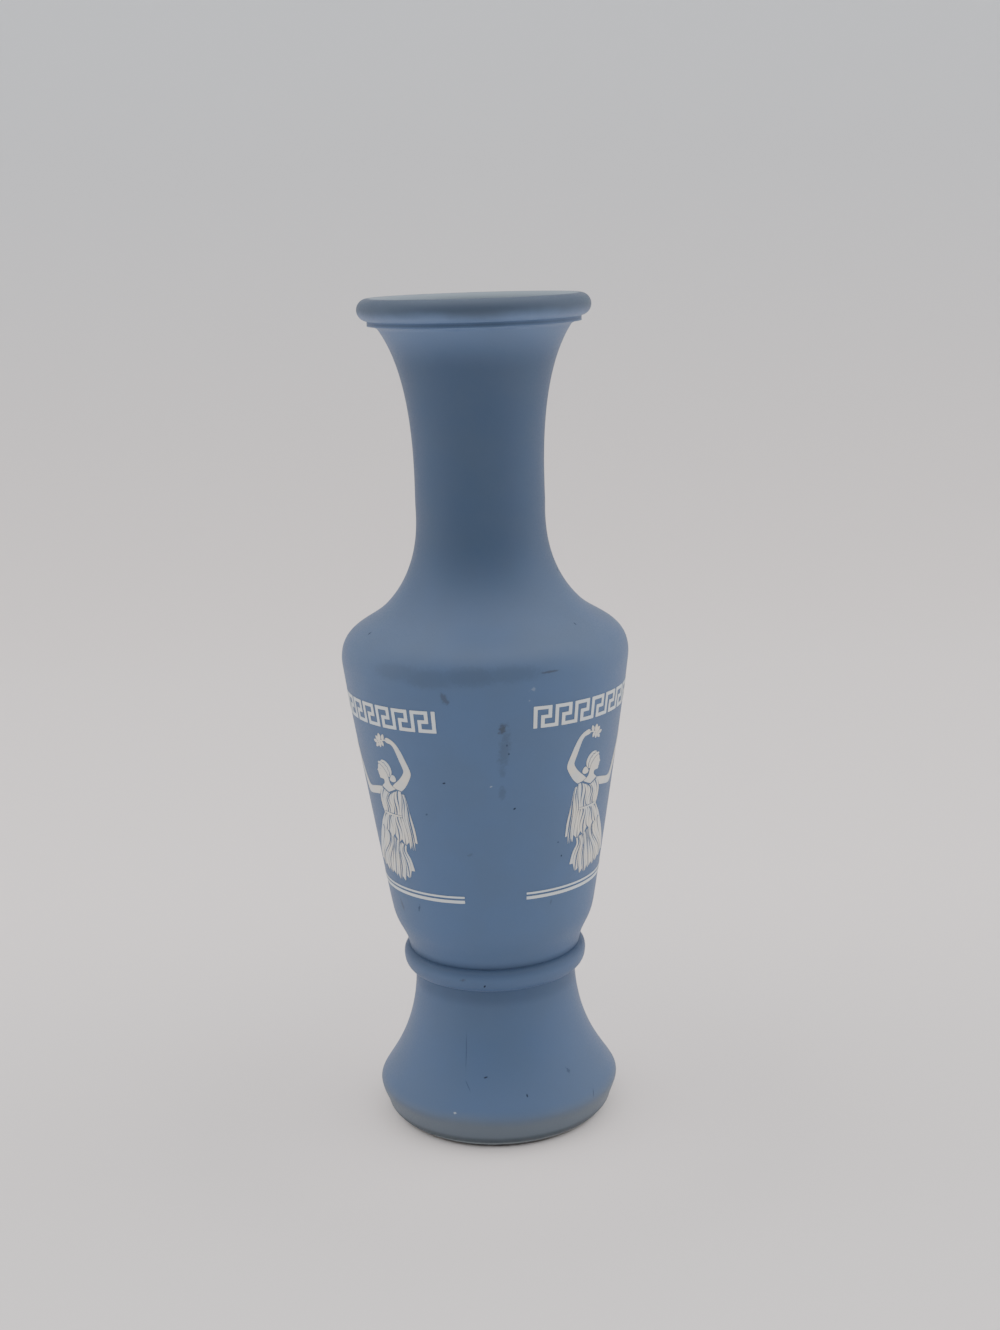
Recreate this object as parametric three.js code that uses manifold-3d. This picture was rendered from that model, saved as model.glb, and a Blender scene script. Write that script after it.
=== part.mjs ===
// Bud vase: a blown glass body with a sprayed blue coat and a white print on two opposite sides.
// Millimetres, +Z up, origin at the centre of the resting ring. The front of the vase looks along -Y.

import * as THREE from 'three';
import { mergeVertices } from 'three/addons/utils/BufferGeometryUtils.js';
import { TessellateModifier } from 'three/addons/modifiers/TessellateModifier.js';
import Module from 'manifold-3d';

const wasm = await Module();
wasm.setup();

// Outside of the vase, from the table up. A rise is the height of one zone.
const vaseHeight = 180.86;      // table to the top of the lip
const ringOuterRadius = 22.2;   // outer edge of the flat ring that the vase stands on
const heelRound = 2.95;         // the bare glass heel rounds out from the ring by this much
const heelRise = 7.4;           // table to the widest line of the foot
const footRadius = 26.7;
const bellRise = 26.5;          // widest line of the foot to the underside of the collar
const stemRadius = 17.8;
const collarRise = 5.3;
const collarRadius = 20.3;
const collarEdge = 0.35;        // rounding where the collar meets the stem and the body
const creaseRadius = 18.9;      // groove between the collar and the body
const cupRise = 10.2;           // rounded bottom of the body
const cupRadius = 22.5;
const bodyRadius = 31.0;        // widest line of the body
const shoulderRise = 11.1;
const shoulderRadius = 21.0;    // where the rounded shoulder turns into the hollow curve of the neck
const throatRise = 22.0;
const neckRadius = 13.85;
const flareRise = 36.2;         // narrowest line of the neck to the underside of the lip
const flareRadius = 20.1;
const stepOverhang = 2.3;       // the lip's sharp step stands out from the flare by this much
const stepDrop = 0.9;
const stepHeight = 1.0;
const lipRollRadius = 2.35;     // round section of the lip
const lipReach = 24.45;         // outermost radius of the lip

// Inside of the vase and the underside.
const wall = 2.6;
const floorThickness = 5.2;     // over the hollow under the base
const floorFillet = 3.5;
const ringInnerRadius = 18.6;
const puntDepth = 2.2;

// Coat and ink. Both are drawn thicker than real paint so that they stay solid.
const coatThickness = 0.3;
const coatSeat = 0.05;          // between the glass and the coat
const coatStart = 2.6;          // the heel below this height is bare glass
const coatOverLip = 160;        // degrees round the lip's roll, counted from its outermost point
const inkThickness = 0.2;
const inkSeat = 0.08;           // between the coat and the ink
const inkFacet = 3.0;           // longest straight edge across the ink

// Print. Angles are degrees about the axis, from the front, positive towards +X. Its heights are those for a
// straight side of printedSideHeight, and stretch with the real one.
const printedSideHeight = 55.6;
const panelCentres = { left: -91.15, right: 88.85 };
const rightPanelRise = 0.48;    // the right panel is printed this much higher than the left one
const printRise = 0.45;         // the print climbs by this much from a panel's centre to the ends of its key
const lineAboveCup = 5.95;      // lower edge of the thick line above the rounded bottom of the body
const thickLine = 0.65;
const thinLine = 0.39;
const lineGap = 0.52;
const lineStartAngle = -71.6;   // ends of both lines from the panel's centre
const lineEndAngle = 76.5;
const keySpanAngle = 141.1;
const keyCount = 15;
const keyColumns = 6;           // strokes from one bar of the key to the next
const keyRows = 6;
const keyHeight = 4.67;
const figureGap = 1.56;         // thin line to the figure's hem
const figureToKey = 1.73;       // top of the raised sprig to the key band
const figureHeight = 33.8;
const figureOffset = 18.0;      // half the distance between the centre lines of a panel's two figures
const figureShift = 0.5;        // both figures stand this much towards +X of the panel's centre
const foldWidth = 0.3;

const latheSides = 32;
const uprightSqueeze = 0.35;

// The lip leaves its step where its round section starts.
const stepRadius = flareRadius + stepOverhang;
const lipCentreRadius = lipReach - lipRollRadius;
const stepTurn = Math.asin(THREE.MathUtils.clamp((stepRadius - lipCentreRadius) / lipRollRadius, -1, 1));
const lipRise = stepDrop + stepHeight + lipRollRadius * (1 + Math.cos(stepTurn));

// Heights of the zones. The straight side of the body takes what the others leave.
const taperRise = vaseHeight
  - (heelRise + bellRise + collarRise + cupRise + shoulderRise + throatRise + flareRise + lipRise);
const footLevel = heelRise;
const collarLevel = footLevel + bellRise;
const creaseLevel = collarLevel + collarRise;
const cupLevel = creaseLevel + cupRise;
const bodyLevel = cupLevel + taperRise;
const shoulderLevel = bodyLevel + shoulderRise;
const neckLevel = shoulderLevel + throatRise;
const flareLevel = neckLevel + flareRise;
const stepLevel = flareLevel + stepDrop;
const lipCentreLevel = vaseHeight - lipRollRadius;

// One zone of the outline: a cubic curve between two radii. startPull and endPull say how far along the
// zone's rise each tangent reaches, startSlope and endSlope are radius over height there.
function zone(lowRadius, lowLevel, highRadius, highLevel, shape, steps) {
  const rise = highLevel - lowLevel;
  const { startSlope = 0, startPull = 0.33, endPull = 0.33, endSlope = 0 } = shape;
  const curve = new THREE.CubicBezierCurve(
    new THREE.Vector2(lowRadius, lowLevel),
    new THREE.Vector2(lowRadius + startSlope * startPull * rise, lowLevel + startPull * rise),
    new THREE.Vector2(highRadius - endSlope * endPull * rise, highLevel - endPull * rise),
    new THREE.Vector2(highRadius, highLevel),
  );
  return curve.getPoints(steps);
}

function arc(centreRadius, centreLevel, radius, fromDegrees, toDegrees, steps) {
  const points = [];
  for (let i = 0; i <= steps; i += 1) {
    const angle = THREE.MathUtils.degToRad(fromDegrees + (toDegrees - fromDegrees) * i / steps);
    const out = radius * Math.cos(angle);
    points.push(new THREE.Vector2(centreRadius + out, centreLevel + radius * Math.sin(angle)));
  }
  return points;
}

// Joins runs of points and drops the doubled ones.
function join(...runs) {
  const points = [];
  for (const point of runs.flat()) {
    const last = points.at(-1);
    if (!last || last.distanceTo(point) > 1e-4) points.push(point);
  }
  return points;
}

// A line of points moved sideways by a distance, positive away from the axis on a rising line.
function offset(points, distance) {
  return points.map((point, i) => {
    const before = points[Math.max(i - 1, 0)];
    const after = points[Math.min(i + 1, points.length - 1)];
    const inDirection = point.clone().sub(before).normalize();
    const outDirection = after.clone().sub(point).normalize();
    if (i === 0) inDirection.copy(outDirection);
    if (i === points.length - 1) outDirection.copy(inDirection);
    const middle = inDirection.clone().add(outDirection).normalize();
    const normal = new THREE.Vector2(middle.y, -middle.x);
    const stretch = 1 / Math.max(middle.dot(inDirection), 0.6);
    return point.clone().addScaledVector(normal, distance * stretch);
  });
}

// Turns a profile of (radius, height) points about the Z axis.
function turned(profile) {
  const geometry = new THREE.LatheGeometry(profile, latheSides);
  geometry.rotateX(Math.PI / 2);
  return geometry;
}

const heelShape = { startSlope: 0.25, startPull: 0.4, endPull: 0.25 };
const bellShape = { startPull: 0.08, endPull: 0.64 };
const cupShape = { startSlope: 0.19, startPull: 0.47, endSlope: 0.149, endPull: 0.47 };
const taperShape = { startSlope: 0.2, startPull: 0.05, endPull: 0.05 };
const shoulderShape = { startPull: 0.617, endSlope: -1, endPull: 0.361 };
const throatShape = { startSlope: -1, startPull: 0.374, endPull: 0.13 };
const flareShape = { startPull: 0.14, endSlope: 0.67, endPull: 0.296 };

const heel = [
  new THREE.Vector2(ringOuterRadius, 0),
  ...new THREE.QuadraticBezierCurve(
    new THREE.Vector2(ringOuterRadius + 0.5 * heelRound, 0.14 * coatStart),
    new THREE.Vector2(ringOuterRadius + 0.92 * heelRound, 0.5 * coatStart),
    new THREE.Vector2(ringOuterRadius + heelRound, coatStart),
  ).getPoints(2),
];
const heelTop = zone(heel.at(-1).x, coatStart, footRadius, footLevel, heelShape, 2);
const bell = zone(footRadius, footLevel, stemRadius, collarLevel, bellShape, 7);
const collar = [
  ...new THREE.QuadraticBezierCurve(
    new THREE.Vector2(stemRadius + collarEdge, collarLevel + 0.14 * collarEdge),
    new THREE.Vector2(collarRadius - 0.3 * collarEdge, collarLevel + 0.1 * collarRise),
    new THREE.Vector2(collarRadius, collarLevel + 0.6 * collarRise),
  ).getPoints(2),
  ...new THREE.QuadraticBezierCurve(
    new THREE.Vector2(collarRadius, collarLevel + 0.6 * collarRise),
    new THREE.Vector2(collarRadius, creaseLevel - collarEdge),
    new THREE.Vector2(creaseRadius, creaseLevel),
  ).getPoints(2),
];
const cup = zone(creaseRadius, creaseLevel, cupRadius, cupLevel, cupShape, 3);
const taper = zone(cupRadius, cupLevel, bodyRadius, bodyLevel, taperShape, 4);
const shoulder = zone(bodyRadius, bodyLevel, shoulderRadius, shoulderLevel, shoulderShape, 6);
const throat = zone(shoulderRadius, shoulderLevel, neckRadius, neckLevel, throatShape, 4);
const flare = zone(neckRadius, neckLevel, flareRadius, flareLevel, flareShape, 5);
const underLip = new THREE.QuadraticBezierCurve(
  new THREE.Vector2(flareRadius, flareLevel),
  new THREE.Vector2(flareRadius + 0.4 * stepDrop, stepLevel - 0.17 * stepDrop),
  new THREE.Vector2(stepRadius, stepLevel),
).getPoints(2);
const step = [new THREE.Vector2(stepRadius, stepLevel + stepHeight)];
const stepAngle = THREE.MathUtils.radToDeg(stepTurn) - 90;
const outerRoll = arc(lipCentreRadius, lipCentreLevel, lipRollRadius, stepAngle, coatOverLip, 7);

// The blue surface, and the glass below it.
const coatedOutside = join(
  heelTop, bell, collar, cup, taper, shoulder, throat, flare, underLip, step, outerRoll,
);
const glassOutside = offset(coatedOutside, -(coatThickness + coatSeat));
const coatInside = offset(coatedOutside, -coatThickness);

// The bore follows the outside at one wall's thickness and passes the collar and the lip smoothly.
const insideCollar = [new THREE.Vector2(stemRadius, collarLevel + 0.5 * collarRise)];
const boreLine = offset(
  join(bell.slice(2), insideCollar, cup.slice(1), taper, shoulder, throat, flare),
  -(coatThickness + coatSeat + wall),
);
const glassRollRadius = lipRollRadius - coatThickness - coatSeat;
const innerRoll = arc(lipCentreRadius, lipCentreLevel, glassRollRadius, coatOverLip + 8, 200, 3);
const floorLevel = puntDepth + floorThickness;
const boreFoot = boreLine.find((point) => point.y > floorLevel + floorFillet);
const floorRadius = boreFoot.x;
const floorCorner = arc(floorRadius - floorFillet, floorLevel + floorFillet, floorFillet, -90, -10, 3);
const punt = new THREE.QuadraticBezierCurve(
  new THREE.Vector2(0, puntDepth),
  new THREE.Vector2(0.6 * ringInnerRadius, puntDepth),
  new THREE.Vector2(ringInnerRadius, 0),
).getPoints(4);

const glassProfile = join(
  punt,
  heel.slice(0, -1),
  glassOutside,
  innerRoll,
  boreLine.filter((point) => point.y > floorLevel + floorFillet).reverse(),
  floorCorner.reverse(),
  [new THREE.Vector2(0, floorLevel)],
);
const coatProfile = join(coatedOutside, coatInside.slice().reverse(), [coatedOutside[0]]);

// Radius of the blue surface at a height on the body, between its facets' edges.
const bodyLine = join(cup, taper, shoulder);
function coatRadiusAt(level) {
  const above = bodyLine.slice(1, -1).findIndex((point) => point.y >= level);
  const i = above < 0 ? bodyLine.length - 1 : above + 1;
  const low = bodyLine[i - 1];
  const high = bodyLine[i];
  return THREE.MathUtils.mapLinear(level, low.y, high.y, low.x, high.x);
}

function solidFrom(geometry) {
  const bare = geometry.clone();
  bare.deleteAttribute('normal');
  bare.deleteAttribute('uv');
  const merged = mergeVertices(bare, 1e-4);
  return new wasm.Manifold(new wasm.Mesh({
    numProp: 3,
    vertProperties: new Float32Array(merged.attributes.position.array),
    triVerts: new Uint32Array(merged.index.array),
  }));
}

function geometryFrom(solid) {
  const mesh = solid.getMesh();
  const geometry = new THREE.BufferGeometry();
  const points = [];
  for (let i = 0; i < mesh.vertProperties.length; i += mesh.numProp) {
    points.push(...mesh.vertProperties.slice(i, i + 3));
  }
  geometry.setAttribute('position', new THREE.Float32BufferAttribute(points, 3));
  geometry.setIndex([...mesh.triVerts]);
  return geometry;
}

// A flat piece of ink, x along the surface, y up, z away from the coat.
function ink(shape) {
  return new THREE.ExtrudeGeometry(shape, { depth: inkThickness, bevelEnabled: false, curveSegments: 5 });
}

function polygon(points) {
  return new THREE.Shape(points.map(([x, y]) => new THREE.Vector2(x, y)));
}

// Heights of the printed bands above the body's rounded bottom, for a panel without lift.
const thinLineLevel = lineAboveCup + thickLine + lineGap;
const figureLevel = thinLineLevel + thinLine + figureGap;
const keyLevel = figureLevel + figureHeight + figureToKey;
const printStretch = taperRise / printedSideHeight;
const printRadius = coatRadiusAt(cupLevel + printStretch * (figureLevel + figureHeight / 2));

// Splits what is too wide to bend round the body. The body is nearly straight upward, so long upright
// edges may stay.
function split(geometry) {
  const source = geometry.clone().scale(1, uprightSqueeze, 1);
  return new TessellateModifier(inkFacet, 12).modify(source).scale(1, 1 / uprightSqueeze, 1);
}

function arcLength(degrees) {
  return THREE.MathUtils.degToRad(degrees) * printRadius;
}

// Lays a flat piece of ink on the coat.
function laid(geometry, centreDegrees, lift) {
  const source = geometry.clone();
  source.deleteAttribute('normal');
  source.deleteAttribute('uv');
  const fine = mergeVertices(source, 1e-4);
  const place = fine.attributes.position;
  for (let i = 0; i < place.count; i += 1) {
    const across = place.getX(i);
    const climb = lift + printRise * (across / arcLength(keySpanAngle / 2)) ** 2;
    const level = cupLevel + printStretch * (place.getY(i) + climb);
    const radius = coatRadiusAt(level) + inkSeat + place.getZ(i);
    const azimuth = THREE.MathUtils.degToRad(centreDegrees) + across / printRadius;
    place.setXYZ(i, radius * Math.sin(azimuth), -radius * Math.cos(azimuth), level);
  }
  fine.computeVertexNormals();
  return fine;
}

function line(low, width) {
  const length = arcLength(lineEndAngle - lineStartAngle);
  const strip = new THREE.BoxGeometry(length, width, inkThickness, Math.ceil(length / inkFacet), 1, 1);
  const middle = arcLength((lineStartAngle + lineEndAngle) / 2);
  return strip.translate(middle, low + width / 2, inkThickness / 2);
}

// Running key: bar, top, short bar, middle, short bar, bottom, and on to the next bar. It is drawn on a
// grid of one stroke across and a sixth of the band's height up.
function keyShape() {
  const stroke = arcLength(keySpanAngle) / (keyCount * keyColumns + 1);
  const row = keyHeight / keyRows;
  const left = -arcLength(keySpanAngle) / 2;
  const column = (unit, x) => x + keyColumns * unit;
  const upper = [[0, 6], [5, 6], [5, 2.5], [3, 2.5], [3, 1], [6, 1]];
  const lower = [[7, 0], [2, 0], [2, 3.5], [4, 3.5], [4, 5], [1, 5]];
  const outline = [];
  for (let unit = 0; unit < keyCount; unit += 1) {
    outline.push(...upper.map(([x, y]) => [column(unit, x), y]));
  }
  outline.push([column(keyCount, 0), keyRows], [column(keyCount, 1), keyRows]);
  for (let unit = keyCount - 1; unit >= 0; unit -= 1) {
    outline.push(...lower.map(([x, y]) => [column(unit, x), y]));
  }
  outline.push([1, 0], [0, 0]);
  return polygon(outline.map(([x, y]) => [left + x * stroke, y * row]));
}

// A dancing maiden seen from the side, x towards the end of the panel and y up from her hem, drawn in units
// that figureScale turns into millimetres.
const hem = [
  [-11.3, 3.0], [-9.7, 2.0], [-8.3, 2.3], [-6.7, 1.2], [-5.3, 1.6], [-3.8, 0.6], [-2.9, 1.0],
  [-2.0, 0.1], [-0.6, 0.0], [0.0, 0.8], [1.0, 0.8], [1.6, 1.7], [2.5, 1.8], [3.0, 2.7], [4.1, 3.2],
];
const skirtSide = [[4.3, 4.3], [3.7, 5.9], [2.7, 7.4], [3.0, 8.5]];
const mantle = [
  [3.8, 8.1], [4.6, 8.7], [5.1, 8.4], [5.5, 9.6], [6.3, 9.6], [6.5, 11.5], [6.1, 14.0], [5.5, 16.8],
  [4.9, 20.4],
];
const raisedArm = [
  [5.4, 22.1], [6.6, 23.7], [7.35, 25.2], [7.2, 26.4], [6.5, 28.1], [5.7, 29.9], [4.9, 31.2], [4.2, 31.9],
  [3.4, 32.3], [2.3, 32.5],
];
const branch = [
  [1.7, 33.2], [1.2, 32.5], [0.8, 33.8], [0.3, 32.7], [-0.6, 33.5], [-0.6, 32.4], [-1.8, 32.5], [-1.2, 31.8],
  [-2.3, 31.1], [-0.9, 31.2], [-0.5, 30.4], [0.1, 31.5], [0.8, 30.9], [1.2, 31.9],
];
const armBack = [
  [2.0, 31.6], [3.3, 31.3], [3.9, 30.8], [4.4, 29.7], [5.0, 28.0], [5.6, 26.4], [5.65, 25.6], [5.0, 24.6],
  [3.9, 23.3], [2.8, 22.3],
];
const head = [
  [1.6, 22.9], [2.3, 22.9], [2.9, 23.2], [3.2, 23.7], [2.9, 24.3], [2.2, 24.6], [2.1, 25.8], [1.5, 26.7],
  [0.6, 27.2], [-0.5, 27.2], [-1.4, 26.8], [-1.9, 26.2], [-2.1, 25.3], [-2.55, 24.6], [-2.2, 24.3],
  [-2.2, 23.7], [-1.9, 23.1], [-0.9, 22.9],
];
const openArm = [
  [-0.8, 22.1], [-1.8, 21.3], [-3.4, 20.9], [-7.0, 20.1], [-8.4, 20.4], [-9.5, 21.7], [-12.0, 25.8],
  [-13.0, 27.7], [-13.9, 28.3], [-14.0, 27.1], [-13.3, 25.9], [-11.3, 22.0], [-9.6, 18.9], [-8.7, 18.3],
  [-5.4, 18.8], [-3.5, 19.1],
];
const front = [
  [-3.7, 18.0], [-3.4, 16.6], [-3.0, 15.3], [-3.7, 14.1], [-5.7, 11.6], [-7.4, 9.2], [-9.2, 6.6],
  [-10.5, 4.6],
];

// Folds that are left open in the ink, each from a fine end to a wide end.
const bodiceFolds = [
  [[-2.3, 20.2], [-2.7, 18.2], [-1.9, 15.9]], [[-1.2, 20.3], [-1.6, 18.2], [-0.9, 15.8]],
  [[0.1, 19.8], [-0.2, 18.0], [0.1, 15.8]], [[1.4, 20.3], [1.4, 18.2], [1.1, 15.8]],
  [[2.7, 20.6], [2.7, 18.4], [2.2, 15.8]],
];
const overfoldFolds = [
  [[-2.2, 14.7], [-2.9, 13.5], [-4.1, 12.0]], [[-1.2, 14.6], [-1.6, 13.0], [-2.4, 11.2]],
  [[-0.1, 14.6], [-0.3, 12.6], [-0.8, 10.6]], [[1.0, 14.6], [1.1, 12.4], [0.9, 10.2]],
  [[2.1, 14.6], [2.6, 12.2], [2.6, 9.8]],
];
const mantleFolds = [
  [[4.0, 20.2], [3.8, 17.5], [3.9, 14.0], [4.1, 10.4]], [[4.7, 18.6], [5.1, 14.5], [5.3, 10.8]],
];
const skirtFolds = [
  [[-5.2, 10.6], [-7.4, 7.2], [-9.1, 3.6]], [[-4.0, 10.1], [-5.8, 7.0], [-7.1, 3.0]],
  [[-2.9, 9.7], [-4.2, 6.4], [-5.2, 2.5]], [[-1.9, 9.3], [-2.9, 5.8], [-3.6, 1.9]],
  [[-0.9, 8.9], [-1.5, 5.4], [-2.4, 1.4]], [[0.1, 8.6], [-0.4, 5.2], [-0.9, 1.3]],
  [[1.0, 8.3], [0.9, 5.4], [0.7, 2.0]], [[1.9, 7.9], [2.1, 5.4], [2.4, 3.2]],
];
const overfoldHem = [[-5.0, 11.5], [-2.6, 10.5], [0.2, 9.6], [2.6, 9.0]];
const belt = [[-2.6, 15.3], [3.3, 15.15]];
const hairBand = [[1.35, 24.2], [0.5, 25.6], [-1.2, 26.3]];
const openings = [
  ...bodiceFolds, ...overfoldFolds, ...mantleFolds, ...skirtFolds, overfoldHem, belt, hairBand,
];
const maidenOutline = [hem, skirtSide, mantle, raisedArm, branch, armBack, head, openArm, front].flat();
const figureScale = figureHeight / Math.max(...maidenOutline.map(([, y]) => y));

// Outline of an opening along a line of points, which widens from its first point to its last.
function groove(line, width) {
  const points = line.map(([x, y]) => new THREE.Vector2(x, y));
  const edge = (sign) => points.map((point, i) => {
    const before = points[Math.max(i - 1, 0)];
    const after = points[Math.min(i + 1, points.length - 1)];
    const along = after.clone().sub(before).normalize();
    const reach = sign * width * (0.2 + 0.3 * i / (points.length - 1));
    return [point.x - along.y * reach, point.y + along.x * reach];
  });
  return [...edge(1), ...edge(-1).reverse()];
}

// side is 1 where the panel's end lies towards +X of the panel's centre, and -1 at the other end.
function maiden(side) {
  const scaled = (points) => points.map(([x, y]) => [
    figureShift + side * (figureOffset + x * figureScale), figureLevel + y * figureScale,
  ]);
  let body = solidFrom(ink(polygon(scaled(maidenOutline))));
  for (const opening of openings) {
    const outline = polygon(scaled(groove(opening, foldWidth / figureScale)));
    const blade = ink(outline).scale(1, 1, 3).translate(0, 0, -inkThickness);
    body = body.subtract(solidFrom(blade));
  }
  return geometryFrom(body);
}

const glassMaterial = new THREE.MeshStandardMaterial({ color: 0x9fb0bf, roughness: 0.15, metalness: 0 });
const coatMaterial = new THREE.MeshStandardMaterial({ color: 0x5c7ba6, roughness: 0.6, metalness: 0 });
const inkMaterial = new THREE.MeshStandardMaterial({ color: 0xe6e3dc, roughness: 0.7, metalness: 0 });

const vase = new THREE.Group();
function add(name, geometry, material) {
  const mesh = new THREE.Mesh(geometry, material);
  mesh.name = name;
  vase.add(mesh);
}

add('glass_body', turned(glassProfile), glassMaterial);
add('blue_coat', turned(coatProfile), coatMaterial);
for (const side of ['left', 'right']) {
  const centre = panelCentres[side];
  const lift = side === 'left' ? 0 : rightPanelRise;
  const outward = side === 'left' ? 1 : -1;
  add(`ground_line_thick_${side}`, laid(line(lineAboveCup, thickLine), centre, lift), inkMaterial);
  add(`ground_line_thin_${side}`, laid(line(thinLineLevel, thinLine), centre, lift), inkMaterial);
  add(`maiden_front_${side}`, laid(split(maiden(outward)), centre, lift), inkMaterial);
  add(`maiden_back_${side}`, laid(split(maiden(-outward)), centre, lift), inkMaterial);
  const key = split(ink(keyShape())).translate(0, keyLevel, 0);
  add(`key_band_${side}`, laid(key, centre, lift), inkMaterial);
}

export default vase;
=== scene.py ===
import math

import bmesh
import bpy
from mathutils import Matrix, Vector
from mathutils.geometry import tessellate_polygon


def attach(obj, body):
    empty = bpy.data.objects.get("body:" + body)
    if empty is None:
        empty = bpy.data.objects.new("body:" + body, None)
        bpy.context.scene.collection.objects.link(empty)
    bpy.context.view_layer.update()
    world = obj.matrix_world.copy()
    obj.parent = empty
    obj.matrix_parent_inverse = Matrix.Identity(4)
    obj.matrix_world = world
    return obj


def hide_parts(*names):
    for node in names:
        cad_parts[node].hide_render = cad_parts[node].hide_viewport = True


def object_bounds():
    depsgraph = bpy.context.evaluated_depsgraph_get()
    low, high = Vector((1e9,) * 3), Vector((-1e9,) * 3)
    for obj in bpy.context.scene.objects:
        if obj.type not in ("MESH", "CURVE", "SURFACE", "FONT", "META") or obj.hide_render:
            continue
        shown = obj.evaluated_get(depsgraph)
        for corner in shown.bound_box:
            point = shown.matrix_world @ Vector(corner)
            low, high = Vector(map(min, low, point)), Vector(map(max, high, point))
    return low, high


# A tall glass bud vase with a satin blue coat and a white classical print on two opposite sides.
# The scene is in metres, the sizes in the dictionaries are millimetres, and the front looks along -Y.
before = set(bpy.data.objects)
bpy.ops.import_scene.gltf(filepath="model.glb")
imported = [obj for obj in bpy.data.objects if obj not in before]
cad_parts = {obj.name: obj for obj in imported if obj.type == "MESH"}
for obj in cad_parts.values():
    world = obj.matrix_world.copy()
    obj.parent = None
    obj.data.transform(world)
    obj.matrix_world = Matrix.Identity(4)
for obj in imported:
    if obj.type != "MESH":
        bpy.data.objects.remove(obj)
cadLow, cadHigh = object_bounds()
mm = 0.001
print("frame loaded", sorted(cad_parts))


# Camera

cameraSizes = {
    "lens": 50.43,
    "place": (0.466, -394.1, 192.19),
    "pitch": 12.9,   # degrees below level
    "roll": 1.8,
    "yaw": 0.386,
}


def makeCamera(sizes):
    pitch, roll, yaw = (math.radians(sizes[key]) for key in ("pitch", "roll", "yaw"))
    forward = Vector((math.sin(yaw) * math.cos(pitch), math.cos(yaw) * math.cos(pitch), -math.sin(pitch)))
    level = Vector((math.cos(yaw), -math.sin(yaw), 0))
    upright = level.cross(forward)
    right = level * math.cos(roll) - upright * math.sin(roll)
    up = level * math.sin(roll) + upright * math.cos(roll)
    data = bpy.data.cameras.new("photographer")
    data.lens = sizes["lens"]
    data.clip_start = 0.01
    camera = bpy.data.objects.new("photographer", data)
    place = Matrix((right, up, -forward)).transposed().to_4x4()
    place.translation = Vector(sizes["place"]) * mm
    camera.matrix_world = place
    bpy.context.scene.collection.objects.link(camera)
    bpy.context.scene.camera = camera


makeCamera(cameraSizes)


# Outline of the vase, as (radius, height) points from the table up

vaseSizes = {
    "height": cadHigh.z / mm,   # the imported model's own top
    "ringOuterRadius": 22.2,
    "heelRound": 2.95,
    "heelTop": 2.6,
    "heelRise": 7.4,
    "footRadius": 26.7,
    "bellRise": 26.5,
    "stemRadius": 17.8,
    "collarRise": 5.3,
    "collarRadius": 20.3,
    "collarEdge": 0.35,
    "creaseRadius": 18.9,
    "cupRise": 10.2,
    "cupRadius": 22.5,
    "bodyRadius": 31.0,
    "shoulderRise": 11.1,
    "shoulderRadius": 21.0,
    "throatRise": 22.0,
    "neckRadius": 13.85,
    "flareRise": 36.2,
    "flareRadius": 20.1,
    "stepOverhang": 2.3,
    "stepDrop": 0.9,
    "stepHeight": 1.0,
    "lipRollRadius": 2.35,
    "lipReach": 24.45,
    "sides": 192,
}
coatSizes = {
    "start": 0.3,          # the heel below this height is bare glass
    "thickness": 0.1,
    "overLip": 160,        # degrees round the lip's roll
}
glassSizes = {
    "wall": 2.9,
    "seat": 0.12,          # outside of the coat to the outside of the glass
    "floorThickness": 5.2,
    "floorFillet": 3.5,
    "ringInnerRadius": 18.6,
    "puntDepth": 2.2,
}


def curveOf(points, steps):
    line = []
    for i in range(steps + 1):
        t = i / steps
        row = [Vector(p) for p in points]
        while len(row) > 1:
            row = [a.lerp(b, t) for a, b in zip(row, row[1:])]
        line.append(row[0])
    return line


def zoneOf(low, high, steps, startSlope=0.0, startPull=0.33, endPull=0.33, endSlope=0.0):
    rise = high[1] - low[1]
    first = (low[0] + startSlope * startPull * rise, low[1] + startPull * rise)
    second = (high[0] - endSlope * endPull * rise, high[1] - endPull * rise)
    return curveOf([low, first, second, high], steps)


def arcOf(centre, radius, start, end, steps):
    angles = [math.radians(start + (end - start) * i / steps) for i in range(steps + 1)]
    return [Vector((centre[0] + radius * math.cos(a), centre[1] + radius * math.sin(a))) for a in angles]


def joined(*runs):
    line = []
    for point in (p for run in runs for p in run):
        if not line or (line[-1] - point).length > 1e-3:
            line.append(point)
    return line


def offsetOf(line, distance):
    moved = []
    for i, point in enumerate(line):
        before = (point - line[i - 1]).normalized() if i else None
        after = (line[i + 1] - point).normalized() if i + 1 < len(line) else None
        before = before or after
        after = after or before
        middle = (before + after).normalized()
        stretch = 1 / max(middle.dot(before), 0.6)
        moved.append(point + Vector((middle.y, -middle.x)) * distance * stretch)
    return moved


size = vaseSizes
stepRadius = size["flareRadius"] + size["stepOverhang"]
lipCentreRadius = size["lipReach"] - size["lipRollRadius"]
stepTurn = math.asin((stepRadius - lipCentreRadius) / size["lipRollRadius"])
lipCentre = (lipCentreRadius, size["height"] - size["lipRollRadius"])
stepLevel = lipCentre[1] - size["lipRollRadius"] * math.cos(stepTurn) - size["stepHeight"]
flareLevel = stepLevel - size["stepDrop"]
neckLevel = flareLevel - size["flareRise"]
shoulderLevel = neckLevel - size["throatRise"]
bodyLevel = shoulderLevel - size["shoulderRise"]
footLevel = size["heelRise"]
collarLevel = footLevel + size["bellRise"]
creaseLevel = collarLevel + size["collarRise"]
cupLevel = creaseLevel + size["cupRise"]
heelRadius = size["ringOuterRadius"] + size["heelRound"]

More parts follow.
